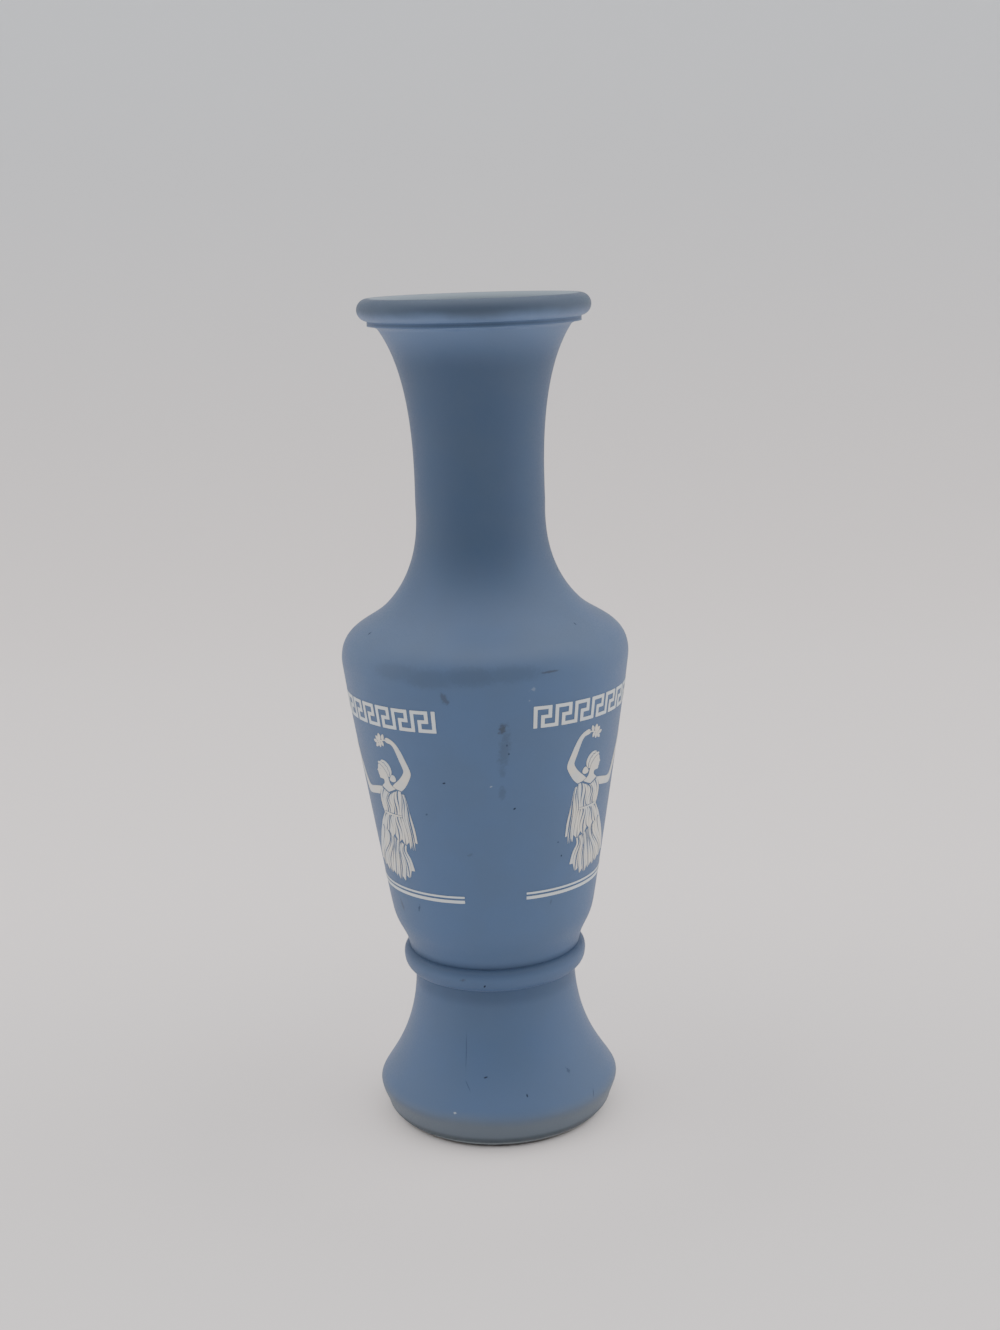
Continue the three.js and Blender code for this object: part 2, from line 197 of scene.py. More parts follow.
heelTop = size["heelTop"]
heelCurve = curveOf([
    (size["ringOuterRadius"], 0),
    (size["ringOuterRadius"] + 0.71 * size["heelRound"], 0.39 * heelTop),
    (heelRadius, heelTop),
], 12)
heelLine = [p for p in heelCurve if p.y < coatSizes["start"]]
edge = size["collarEdge"]
collarMiddle = (size["collarRadius"], collarLevel + 0.6 * size["collarRise"])
coatOutside = joined(
    [p for p in heelCurve if p.y >= coatSizes["start"]],
    zoneOf((heelRadius, heelTop), (size["footRadius"], footLevel), 8, 0.25, 0.4, 0.25),
    zoneOf((size["footRadius"], footLevel), (size["stemRadius"], collarLevel), 34, 0, 0.08, 0.64),
    curveOf([
        (size["stemRadius"], collarLevel),
        (size["stemRadius"] + 0.1, collarLevel + 0.02),
        (size["stemRadius"] + edge, collarLevel + 0.14 * edge),
    ], 3),
    curveOf([
        (size["stemRadius"] + edge, collarLevel + 0.14 * edge),
        (size["collarRadius"] - 0.1, collarLevel + 0.1 * size["collarRise"]),
        collarMiddle,
    ], 8),
    curveOf([collarMiddle, (size["collarRadius"], creaseLevel - edge), (size["creaseRadius"], creaseLevel)], 8),
    zoneOf((size["creaseRadius"], creaseLevel), (size["cupRadius"], cupLevel), 12, 0.19, 0.47, 0.47, 0.149),
    zoneOf((size["cupRadius"], cupLevel), (size["bodyRadius"], bodyLevel), 26, 0.2, 0.05, 0.05),
    zoneOf((size["bodyRadius"], bodyLevel), (size["shoulderRadius"], shoulderLevel), 26, 0, 0.617, 0.361, -1),
    zoneOf((size["shoulderRadius"], shoulderLevel), (size["neckRadius"], neckLevel), 24, -1, 0.374, 0.13),
    zoneOf((size["neckRadius"], neckLevel), (size["flareRadius"], flareLevel), 26, 0, 0.14, 0.296, 0.67),
    curveOf([
        (size["flareRadius"], flareLevel),
        (size["flareRadius"] + 0.4 * size["stepDrop"], stepLevel - 0.17 * size["stepDrop"]),
        (stepRadius, stepLevel),
    ], 5),
    [Vector((stepRadius, stepLevel + size["stepHeight"]))],
    arcOf(lipCentre, size["lipRollRadius"], math.degrees(stepTurn) - 90, coatSizes["overLip"], 26),
)
coatInside = offsetOf(coatOutside, -coatSizes["thickness"])
coatLine = coatOutside + coatInside[::-1]

glassOutside = offsetOf(coatOutside, -glassSizes["seat"])
bodyStart = next(i for i, p in enumerate(coatOutside) if p.y > footLevel + 3)
collarFirst = next(i for i, p in enumerate(coatOutside) if p.y > collarLevel - 0.1)
collarLast = next(i for i, p in enumerate(coatOutside) if p.y > creaseLevel + 0.5)
flareLast = next(i for i, p in enumerate(coatOutside) if p.y > flareLevel - 0.1)
insideCollar = [Vector((size["stemRadius"], collarLevel + 0.5 * size["collarRise"]))]
boreSource = joined(
    coatOutside[bodyStart:collarFirst], insideCollar, coatOutside[collarLast + 2:flareLast + 1])
boreLine = offsetOf(boreSource, -(glassSizes["seat"] + glassSizes["wall"]))
innerRoll = arcOf(lipCentre, size["lipRollRadius"] - glassSizes["seat"], coatSizes["overLip"] + 4, 205, 6)
floorLevel = glassSizes["puntDepth"] + glassSizes["floorThickness"]
fillet = glassSizes["floorFillet"]
boreUpper = [p for p in boreLine if p.y > floorLevel + fillet]
floorCorner = arcOf((boreUpper[0].x - fillet, floorLevel + fillet), fillet, -90, -10, 8)
punt = curveOf([
    (0, glassSizes["puntDepth"]),
    (0.6 * glassSizes["ringInnerRadius"], glassSizes["puntDepth"]),
    (glassSizes["ringInnerRadius"], 0),
], 12)
glassLine = joined(
    punt, heelLine, glassOutside, innerRoll, boreUpper[::-1], floorCorner[::-1], [Vector((0, floorLevel))])


# Geometry Nodes

def newTree(name, inputs):
    tree = bpy.data.node_groups.new(name, "GeometryNodeTree")
    for label, kind, default in inputs:
        socket = tree.interface.new_socket(label, in_out="INPUT", socket_type="NodeSocket" + kind)
        if default is not None:
            socket.default_value = default
    tree.interface.new_socket("Geometry", in_out="OUTPUT", socket_type="NodeSocketGeometry")
    return tree, tree.nodes.new("NodeGroupInput"), tree.nodes.new("NodeGroupOutput")


def put(tree, kind, values=None, **settings):
    node = tree.nodes.new(kind)
    for key, value in settings.items():
        setattr(node, key, value)
    for key, value in (values or {}).items():
        socket = node.inputs[key]
        if isinstance(value, bpy.types.NodeSocket):
            tree.links.new(value, socket)
        else:
            socket.default_value = value
    return node


def sums(tree, operation, first, second=0.0):
    return put(tree, "ShaderNodeMath", {0: first, 1: second}, operation=operation).outputs[0]


def turnTree():
    tree, given, out = newTree("TurnAboutAxis", [
        ("Outline", "Geometry", None), ("Sides", "Int", 96), ("Finish", "Material", None)])
    count = put(tree, "GeometryNodeAttributeDomainSize", {0: given.outputs["Outline"]}).outputs["Point Count"]
    columns = sums(tree, "ADD", given.outputs["Sides"], 1)
    grid = put(tree, "GeometryNodeMeshGrid", {"Vertices X": columns, "Vertices Y": count})
    index = put(tree, "GeometryNodeInputIndex").outputs[0]
    row = sums(tree, "MODULO", index, count)
    column = sums(tree, "FLOOR", sums(tree, "DIVIDE", sums(tree, "ADD", index, 0.5), count))
    place = put(tree, "GeometryNodeInputPosition").outputs[0]
    sample = put(
        tree, "GeometryNodeSampleIndex",
        {"Geometry": given.outputs["Outline"], "Value": place, "Index": row}, data_type="FLOAT_VECTOR")
    parts = put(tree, "ShaderNodeSeparateXYZ", {0: sample.outputs[0]}).outputs
    turn = sums(tree, "MULTIPLY", sums(tree, "DIVIDE", column, given.outputs["Sides"]), 2 * math.pi)
    x = sums(tree, "MULTIPLY", parts["X"], sums(tree, "SINE", turn))
    y = sums(tree, "MULTIPLY", parts["X"], sums(tree, "MULTIPLY", sums(tree, "COSINE", turn), -1.0))
    spot = put(tree, "ShaderNodeCombineXYZ", {"X": x, "Y": y, "Z": parts["Z"]}).outputs[0]
    moved = put(tree, "GeometryNodeSetPosition", {"Geometry": grid.outputs["Mesh"], "Position": spot})
    closed = put(tree, "GeometryNodeMergeByDistance", {"Geometry": moved.outputs[0], "Distance": 1e-6})
    smooth = put(tree, "GeometryNodeSetShadeSmooth", {"Geometry": closed.outputs[0]})
    real = put(tree, "GeometryNodeRealizeInstances", {"Geometry": smooth.outputs[0]})
    finished = put(
        tree, "GeometryNodeSetMaterial", {"Geometry": real.outputs[0], "Material": given.outputs["Finish"]})
    tree.links.new(finished.outputs[0], out.inputs[0])
    return tree


def layTree():
    tree, given, out = newTree("LayOnCoat", [
        ("Flat Ink", "Geometry", None), ("Coat", "Object", None), ("Panel Centre", "Float", 0.0),
        ("Print Radius", "Float", 0.027), ("Lift", "Float", 0.0), ("End Rise", "Float", 0.0),
        ("Half Width", "Float", 0.035), ("Seat", "Float", 0.00002), ("Thickness", "Float", 0.00005),
        ("Edge Wobble", "Float", 0.0), ("Seed", "Float", 3.0)])
    place = put(tree, "GeometryNodeInputPosition").outputs[0]
    noise = put(
        tree, "ShaderNodeTexNoise",
        {"Vector": place, "W": given.outputs["Seed"], "Scale": 900.0, "Detail": 1.0}, noise_dimensions="4D")
    centred = put(tree, "ShaderNodeVectorMath", {0: noise.outputs["Color"], 1: (0.5, 0.5, 0.5)}, operation="SUBTRACT")
    wobble = put(
        tree, "ShaderNodeVectorMath",
        {0: centred.outputs[0], "Scale": given.outputs["Edge Wobble"]}, operation="SCALE")
    shaken = put(tree, "ShaderNodeVectorMath", {0: place, 1: wobble.outputs[0]}, operation="ADD").outputs[0]
    parts = put(tree, "ShaderNodeSeparateXYZ", {0: shaken}).outputs
    share = sums(tree, "DIVIDE", parts["X"], given.outputs["Half Width"])
    rise = sums(tree, "MULTIPLY", given.outputs["End Rise"], sums(tree, "MULTIPLY", share, share))
    level = sums(tree, "ADD", sums(tree, "ADD", parts["Z"], given.outputs["Lift"]), rise)
    bend = sums(tree, "DIVIDE", parts["X"], given.outputs["Print Radius"])
    turn = sums(tree, "ADD", given.outputs["Panel Centre"], bend)
    sine = sums(tree, "SINE", turn)
    cosine = sums(tree, "COSINE", turn)
    reach = 0.06
    source = put(tree, "ShaderNodeCombineXYZ", {
        "X": sums(tree, "MULTIPLY", sine, reach),
        "Y": sums(tree, "MULTIPLY", cosine, -reach),
        "Z": level,
    }).outputs[0]
    way = put(tree, "ShaderNodeCombineXYZ", {"X": sums(tree, "MULTIPLY", sine, -1.0), "Y": cosine}).outputs[0]
    coat = put(tree, "GeometryNodeObjectInfo", {"Object": given.outputs["Coat"]})
    ray = put(tree, "GeometryNodeRaycast", {
        "Target Geometry": coat.outputs["Geometry"], "Source Position": source,
        "Ray Direction": way, "Ray Length": reach})
    seat = put(
        tree, "ShaderNodeVectorMath",
        {0: ray.outputs["Hit Normal"], "Scale": given.outputs["Seat"]}, operation="SCALE").outputs[0]
    spot = put(tree, "ShaderNodeVectorMath", {0: ray.outputs["Hit Position"], 1: seat}, operation="ADD").outputs[0]
    back = put(tree, "GeometryNodeSetPosition", {"Geometry": given.outputs["Flat Ink"], "Position": spot})
    raised = put(
        tree, "GeometryNodeExtrudeMesh",
        {"Mesh": back.outputs[0], "Offset Scale": given.outputs["Thickness"], "Individual": False})
    under = put(tree, "GeometryNodeFlipFaces", {"Mesh": back.outputs[0]})
    both = put(tree, "GeometryNodeJoinGeometry")
    tree.links.new(raised.outputs["Mesh"], both.inputs[0])
    tree.links.new(under.outputs[0], both.inputs[0])
    closed = put(tree, "GeometryNodeMergeByDistance", {"Geometry": both.outputs[0], "Distance": 1e-6})
    tree.links.new(closed.outputs[0], out.inputs[0])
    return tree


layInputs = [
    ("Coat", "Object", None), ("Panel Centre", "Float", 0.0), ("Print Radius", "Float", 0.027),
    ("Lift", "Float", 0.0), ("End Rise", "Float", 0.0), ("Half Width", "Float", 0.035), ("Seed", "Float", 3.0),
    ("Ink", "Material", None)]


def layAndFinish(tree, given, out, flat, lay):
    laid = put(tree, "GeometryNodeGroup", {}, node_tree=lay)
    tree.links.new(flat, laid.inputs["Flat Ink"])
    for label, kind, default in layInputs[:-1]:
        tree.links.new(given.outputs[label], laid.inputs[label])
    laid.inputs["Seat"].default_value = inkSizes["seat"] * mm
    laid.inputs["Thickness"].default_value = inkSizes["thickness"] * mm
    laid.inputs["Edge Wobble"].default_value = inkSizes["wobble"] * mm
    real = put(tree, "GeometryNodeRealizeInstances", {"Geometry": laid.outputs[0]})
    finished = put(
        tree, "GeometryNodeSetMaterial", {"Geometry": real.outputs[0], "Material": given.outputs["Ink"]})
    tree.links.new(finished.outputs[0], out.inputs[0])


inkSizes = {"seat": 0.01, "thickness": 0.06, "wobble": 0.05}


def keyTree(lay):
    tree, given, out = newTree("RunningKey", [
        ("Unit", "Geometry", None), ("Count", "Int", 15), ("Stroke", "Float", 0.0008),
        ("Height", "Float", 0.0048), ("Low Edge", "Float", 0.09)] + layInputs)
    pitch = sums(tree, "MULTIPLY", given.outputs["Stroke"], 6.0)
    length = sums(tree, "ADD", sums(tree, "MULTIPLY", pitch, given.outputs["Count"]), given.outputs["Stroke"])
    left = sums(tree, "MULTIPLY", length, -0.5)
    first = put(tree, "ShaderNodeCombineXYZ", {"X": left, "Z": given.outputs["Low Edge"]}).outputs[0]
    step = put(tree, "ShaderNodeCombineXYZ", {"X": pitch}).outputs[0]
    row = put(tree, "GeometryNodeMeshLine", {
        "Count": given.outputs["Count"], "Start Location": first, "Offset": step})
    units = put(tree, "GeometryNodeInstanceOnPoints", {
        "Points": row.outputs[0], "Instance": given.outputs["Unit"]})
    real = put(tree, "GeometryNodeRealizeInstances", {"Geometry": units.outputs[0]})
    bar = put(tree, "GeometryNodeMeshGrid", {
        "Size X": given.outputs["Stroke"], "Size Y": given.outputs["Height"], "Vertices X": 2, "Vertices Y": 7})
    halfStroke = sums(tree, "MULTIPLY", given.outputs["Stroke"], 0.5)
    halfHeight = sums(tree, "MULTIPLY", given.outputs["Height"], 0.5)
    end = put(tree, "ShaderNodeCombineXYZ", {
        "X": sums(tree, "SUBTRACT", sums(tree, "MULTIPLY", length, 0.5), halfStroke),
        "Z": sums(tree, "ADD", given.outputs["Low Edge"], halfHeight),
    }).outputs[0]
    standing = put(tree, "GeometryNodeTransform", {
        "Geometry": bar.outputs["Mesh"], "Translation": end, "Rotation": (math.pi / 2, 0, 0)})
    both = put(tree, "GeometryNodeJoinGeometry")
    tree.links.new(real.outputs[0], both.inputs[0])
    tree.links.new(standing.outputs[0], both.inputs[0])
    merged = put(tree, "GeometryNodeMergeByDistance", {"Geometry": both.outputs[0], "Distance": 1e-5})
    layAndFinish(tree, given, out, merged.outputs[0], lay)
    return tree


def ruleTree(lay):
    tree, given, out = newTree("RuledLine", [
        ("Nothing", "Geometry", None), ("From", "Float", -0.03), ("To", "Float", 0.03),
        ("Low Edge", "Float", 0.05), ("Width", "Float", 0.0008), ("Segments", "Int", 80)] + layInputs)
    length = sums(tree, "SUBTRACT", given.outputs["To"], given.outputs["From"])
    strip = put(tree, "GeometryNodeMeshGrid", {
        "Size X": length, "Size Y": given.outputs["Width"], "Vertices X": given.outputs["Segments"], "Vertices Y": 2})
    middle = put(tree, "ShaderNodeCombineXYZ", {
        "X": sums(tree, "MULTIPLY", sums(tree, "ADD", given.outputs["From"], given.outputs["To"]), 0.5),
        "Z": sums(tree, "ADD", given.outputs["Low Edge"], sums(tree, "MULTIPLY", given.outputs["Width"], 0.5)),
    }).outputs[0]
    standing = put(tree, "GeometryNodeTransform", {
        "Geometry": strip.outputs["Mesh"], "Translation": middle, "Rotation": (math.pi / 2, 0, 0)})
    layAndFinish(tree, given, out, standing.outputs[0], lay)
    return tree


def figureTree(lay):
    tree, given, out = newTree("PrintedFigure", [("Drawing", "Geometry", None)] + layInputs)
    layAndFinish(tree, given, out, given.outputs["Drawing"], lay)
    return tree


# Runs a tree on a mesh and keeps the result as a plain mesh of its own.
def builtBy(tree, name, mesh, values):
    maker = bpy.data.objects.new(name, mesh)
    bpy.context.scene.collection.objects.link(maker)
    modifier = maker.modifiers.new("shape", "NODES")
    modifier.node_group = tree
    for item in tree.interface.items_tree:
        if item.item_type == "SOCKET" and item.in_out == "INPUT" and item.name in values:
            modifier[item.identifier] = values[item.name]
    graph = bpy.context.evaluated_depsgraph_get()
    result = bpy.data.meshes.new_from_object(maker.evaluated_get(graph), depsgraph=graph)
    result.name = name
    maker.modifiers.remove(modifier)
    maker.data = result
    return maker


def meshOf(name, points, edges=(), faces=()):
    mesh = bpy.data.meshes.new(name)
    mesh.from_pydata(points, edges, faces)
    return mesh


def outlineMesh(name, line):
    points = [(p.x * mm, 0, p.y * mm) for p in line]
    return meshOf(name, points, [(i, i + 1) for i in range(len(points) - 1)])


# Materials

def groupOf(name, inputs, outputs):
    tree = bpy.data.node_groups.new(name, "ShaderNodeTree")
    for label, kind, default in inputs:
        socket = tree.interface.new_socket(label, in_out="INPUT", socket_type="NodeSocket" + kind)
        if default is not None:
            socket.default_value = default
    for label, kind in outputs:
        tree.interface.new_socket(label, in_out="OUTPUT", socket_type="NodeSocket" + kind)
    return tree, tree.nodes.new("NodeGroupInput"), tree.nodes.new("NodeGroupOutput")


def mapped(tree, value, low, high, toLow=0.0, toHigh=1.0, smooth=True):
    node = put(tree, "ShaderNodeMapRange", {
        "Value": value, "From Min": low, "From Max": high, "To Min": toLow, "To Max": toHigh})
    node.interpolation_type = "SMOOTHSTEP" if smooth else "LINEAR"
    return node.outputs["Result"]


def mixed(tree, share, first, second):
    node = put(tree, "ShaderNodeMix", data_type="RGBA")
    for socket, value in ((node.inputs[0], share), (node.inputs[6], first), (node.inputs[7], second)):
        if isinstance(value, bpy.types.NodeSocket):
            tree.links.new(value, socket)
        else:
            socket.default_value = value
    return node.outputs[2]


# Fine orange-peel grain of sprayed or printed colour, and cloudy patches in its tone.
def satinGrain():
    tree, given, out = groupOf("SatinGrain", [
        ("Position", "Vector", None), ("Grain Size", "Float", 0.4), ("Cloud Size", "Float", 9.0)],
        [("Grain", "Float"), ("Cloud", "Float")])
    fine = put(tree, "ShaderNodeTexNoise", {
        "Vector": given.outputs["Position"], "Detail": 3.0, "Roughness": 0.6,
        "Scale": sums(tree, "DIVIDE", 1000.0, given.outputs["Grain Size"])})
    broad = put(tree, "ShaderNodeTexNoise", {
        "Vector": given.outputs["Position"], "Detail": 4.0, "Roughness": 0.55,
        "Scale": sums(tree, "DIVIDE", 1000.0, given.outputs["Cloud Size"])})
    tree.links.new(fine.outputs["Fac"], out.inputs["Grain"])
    tree.links.new(broad.outputs["Fac"], out.inputs["Cloud"])
    return tree


# Small round chips scattered at random over a surface.
def scatteredSpecks():
    tree, given, out = groupOf("ScatteredSpecks", [
        ("Position", "Vector", None), ("Spacing", "Float", 9.0), ("Largest", "Float", 0.3),
        ("Share", "Float", 0.25)], [("Mask", "Float")])
    cells = put(tree, "ShaderNodeTexVoronoi", {
        "Vector": given.outputs["Position"],
        "Scale": sums(tree, "DIVIDE", 1000.0, given.outputs["Spacing"])})
    pick = put(tree, "ShaderNodeSeparateColor", {0: cells.outputs["Color"]})
    chosen = sums(tree, "LESS_THAN", pick.outputs[0], given.outputs["Share"])
    radius = sums(tree, "MULTIPLY", pick.outputs[1], sums(
        tree, "DIVIDE", given.outputs["Largest"], given.outputs["Spacing"]))
    inner = sums(tree, "MULTIPLY", radius, 0.5)
    spot = mapped(tree, cells.outputs["Distance"], inner, radius, 1.0, 0.0)
    tree.links.new(sums(tree, "MULTIPLY", spot, chosen), out.inputs["Mask"])
    return tree


# One mark at a known place: a soft-edged ellipse, broken up by noise.
def placedMark():
    tree, given, out = groupOf("PlacedMark", [
        ("Position", "Vector", None), ("Centre", "Vector", None), ("Turn", "Float", 0.0),
        ("Length", "Float", 1.0), ("Width", "Float", 1.0), ("Ragged", "Float", 0.3)], [("Mask", "Float")])
    away = put(tree, "ShaderNodeVectorMath", {
        0: given.outputs["Position"], 1: given.outputs["Centre"]}, operation="SUBTRACT").outputs[0]
    parts = put(tree, "ShaderNodeSeparateXYZ", {0: given.outputs["Centre"]}).outputs
    facing = sums(tree, "ARCTAN2", parts["Y"], parts["X"])
    unturned = put(tree, "ShaderNodeVectorRotate", {
        "Vector": away, "Axis": (0, 0, 1), "Angle": sums(tree, "MULTIPLY", facing, -1.0)},
        rotation_type="AXIS_ANGLE").outputs[0]
    leaned = put(tree, "ShaderNodeVectorRotate", {
        "Vector": unturned, "Axis": (1, 0, 0), "Angle": given.outputs["Turn"]},
        rotation_type="AXIS_ANGLE").outputs[0]
    flat = put(tree, "ShaderNodeSeparateXYZ", {0: leaned}).outputs
    along = sums(tree, "DIVIDE", flat["Z"], given.outputs["Length"])
    across = sums(tree, "DIVIDE", flat["Y"], given.outputs["Width"])
    depth = sums(tree, "DIVIDE", flat["X"], 0.004)
    squares = sums(tree, "ADD", sums(tree, "MULTIPLY", along, along), sums(tree, "MULTIPLY", across, across))
    squares = sums(tree, "ADD", squares, sums(tree, "MULTIPLY", depth, depth))
    noise = put(tree, "ShaderNodeTexNoise", {
        "Vector": given.outputs["Position"], "Scale": 1600.0, "Detail": 2.0})
    rough = sums(tree, "MULTIPLY", sums(tree, "SUBTRACT", noise.outputs["Fac"], 0.5), given.outputs["Ragged"])
    reach = sums(tree, "ADD", sums(tree, "SQRT", squares), sums(tree, "MULTIPLY", rough, 4.0))
    tree.links.new(mapped(tree, reach, 0.35, 1.0, 1.0, 0.0), out.inputs["Mask"])
    return tree


grainGroup = satinGrain()
speckGroup = scatteredSpecks()
markGroup = placedMark()

coatFinish = {
    "footBlue": (0.071, 0.106, 0.189, 1),
    "bodyBlue": (0.075, 0.1155, 0.209, 1),
    "shoulderBlue": (0.0845, 0.12, 0.202, 1),
    "neckBlue": (0.0546, 0.081, 0.14, 1),
    # lighter blue on the flare's top under the step: painted light from below
    "flarePaintedLight": (0.11, 0.155, 0.26, 1),
    "thinBlue": (0.08, 0.102, 0.135, 1),     # where the glass shows through the coat
    "lipBlue": (0.051, 0.065, 0.088, 1),
    "insideGrey": (0.21, 0.25, 0.29, 1),
    "heelGrey": (0.112, 0.128, 0.149, 1),
    "heelShade": (0.062, 0.075, 0.089, 1),
    # pale line at the very bottom of the heel: a painted reflection of the glass edge
    "heelPaintedReflection": (0.3, 0.32, 0.34, 1),
    "creaseShade": (0.022, 0.034, 0.062, 1),
    "chip": (0.015, 0.022, 0.035, 1),
    "smudge": (0.048, 0.056, 0.073, 1),
    "pale": (0.3, 0.333, 0.366, 1),
    "roughness": 0.5,
    "bump": 0.000004,
}


def newMaterial(name):
    material = bpy.data.materials.new(name)
    material.use_nodes = True
    tree = material.node_tree
    tree.nodes.clear()
    shader = tree.nodes.new("ShaderNodeBsdfPrincipled")
    out = tree.nodes.new("ShaderNodeOutputMaterial")
    tree.links.new(shader.outputs[0], out.inputs[0])
    return material, tree, shader


def onCoat(azimuth, level):
    turn = math.radians(azimuth)
    radius = coatRadius(level)
    return (radius * math.sin(turn) * mm, -radius * math.cos(turn) * mm, level * mm)


def coatRadius(level):
    for low, high in zip(coatOutside, coatOutside[1:]):
        if low.y <= level <= high.y:
            return low.x + (high.x - low.x) * (level - low.y) / (high.y - low.y)
    return coatOutside[0].x


# Painted shade in the turned creases, under the lip's step and above and below the collar: height, half height,
# strength
paintedCreaseShade = [(175.7, 0.6, 0.5), (38.9, 2.1, 0.36), (31.8, 2.2, 0.18)]

# Marks of wear: degrees from the front, height, lean in degrees, half length, half width, strength,
# raggedness.
chips = [
    (-19.6, 83.4, 75, 0.5, 0.24, 1.0, 0.2), (10.7, 77.5, 50, 0.46, 0.28, 1.0, 0.3),
    (-7.5, 15.7, 75, 0.6, 0.22, 1.0, 0.2), (14.2, 11.9, 0, 0.4, 0.32, 1.0, 0.2),
    (-65.0, 112.2, 0, 0.35, 0.3, 0.9, 0.2), (79.0, 123.0, 30, 0.4, 0.3, 0.9, 0.2),
    (51.2, 113.7, 0, 0.3, 0.26, 0.7, 0.3),
    (41.9, 14.6, 0, 0.75, 0.5, 0.4, 0.9), (-7.0, 35.9, 20, 0.4, 0.27, 1.0, 0.3),
    (7.5, 91.8, 0, 0.34, 0.26, 0.55, 0.4), (8.3, 89.8, 0, 0.3, 0.24, 0.6, 0.4),
    (-29.7, 75.9, 60, 0.4, 0.26, 0.45, 0.4), (33.2, 68.3, 0, 0.28, 0.26, 0.8, 0.3),
    (35.8, 64.9, 0, 0.34, 0.28, 0.9, 0.3), (-43.1, 53.2, 24, 1.3, 0.34, 0.5, 0.5),
]
smudges = [
    (5.8, 95.3, 20, 1.5, 1.0, 0.8, 0.35), (6.4, 90.5, 8, 6.4, 1.5, 0.32, 0.3),
    (5.6, 85.6, 0, 1.1, 0.9, 0.28, 0.3), (5.3, 81.3, 5, 1.9, 1.0, 0.32, 0.3),
    (-16.1, 102.0, -25, 1.8, 0.95, 0.6, 0.3), (-59.0, 52.0, -20, 1.6, 0.7, 0.6, 0.4),
    (-36.0, 106.8, 90, 9.0, 2.4, 0.2, 0.15), (-22.0, 106.0, 90, 9.0, 2.8, 0.25, 0.15),
    (-6.0, 106.6, 90, 9.0, 2.8, 0.27, 0.15), (10.0, 106.9, 90, 9.0, 2.4, 0.22, 0.15),
    (24.8, 106.6, 88, 2.9, 0.34, 0.7, 0.15), (-20.5, 37.1, 80, 0.9, 0.4, 0.6, 0.4),
    (31.6, 54.5, 10, 0.9, 0.3, 0.4, 0.5), (-10.5, 67.3, 60, 0.8, 0.35, 0.3, 0.5),
]
scratches = [
    (-20.4, 20.5, -4, 5.6, 0.16, 0.4, 0.1), (-17.3, 13.9, -35, 1.8, 0.14, 0.4, 0.1),
    (51.6, 8.6, 38, 1.2, 0.16, 0.7, 0.1),
]
paleSpots = [
    (-21.9, 8.84, 90, 0.5, 0.24, 1.0, 0.3), (0.7, 82.8, 70, 0.42, 0.2, 0.5, 0.3),
    (17.8, 103.4, 80, 0.9, 0.4, 0.25, 0.6), (16.5, 101.0, 60, 0.35, 0.2, 0.3, 0.4),
]


def darkest(tree, position, rows, start=0.0):
    total = start
    for azimuth, level, lean, length, width, strength, ragged in rows:
        mark = put(tree, "ShaderNodeGroup", {}, node_tree=markGroup)
        tree.links.new(position, mark.inputs["Position"])
        mark.inputs["Centre"].default_value = onCoat(azimuth, level)
        mark.inputs["Turn"].default_value = math.radians(lean)
        mark.inputs["Length"].default_value = length * mm
        mark.inputs["Width"].default_value = width * mm
        mark.inputs["Ragged"].default_value = ragged
        total = sums(tree, "MAXIMUM", total, sums(tree, "MULTIPLY", mark.outputs[0], strength))
    return total


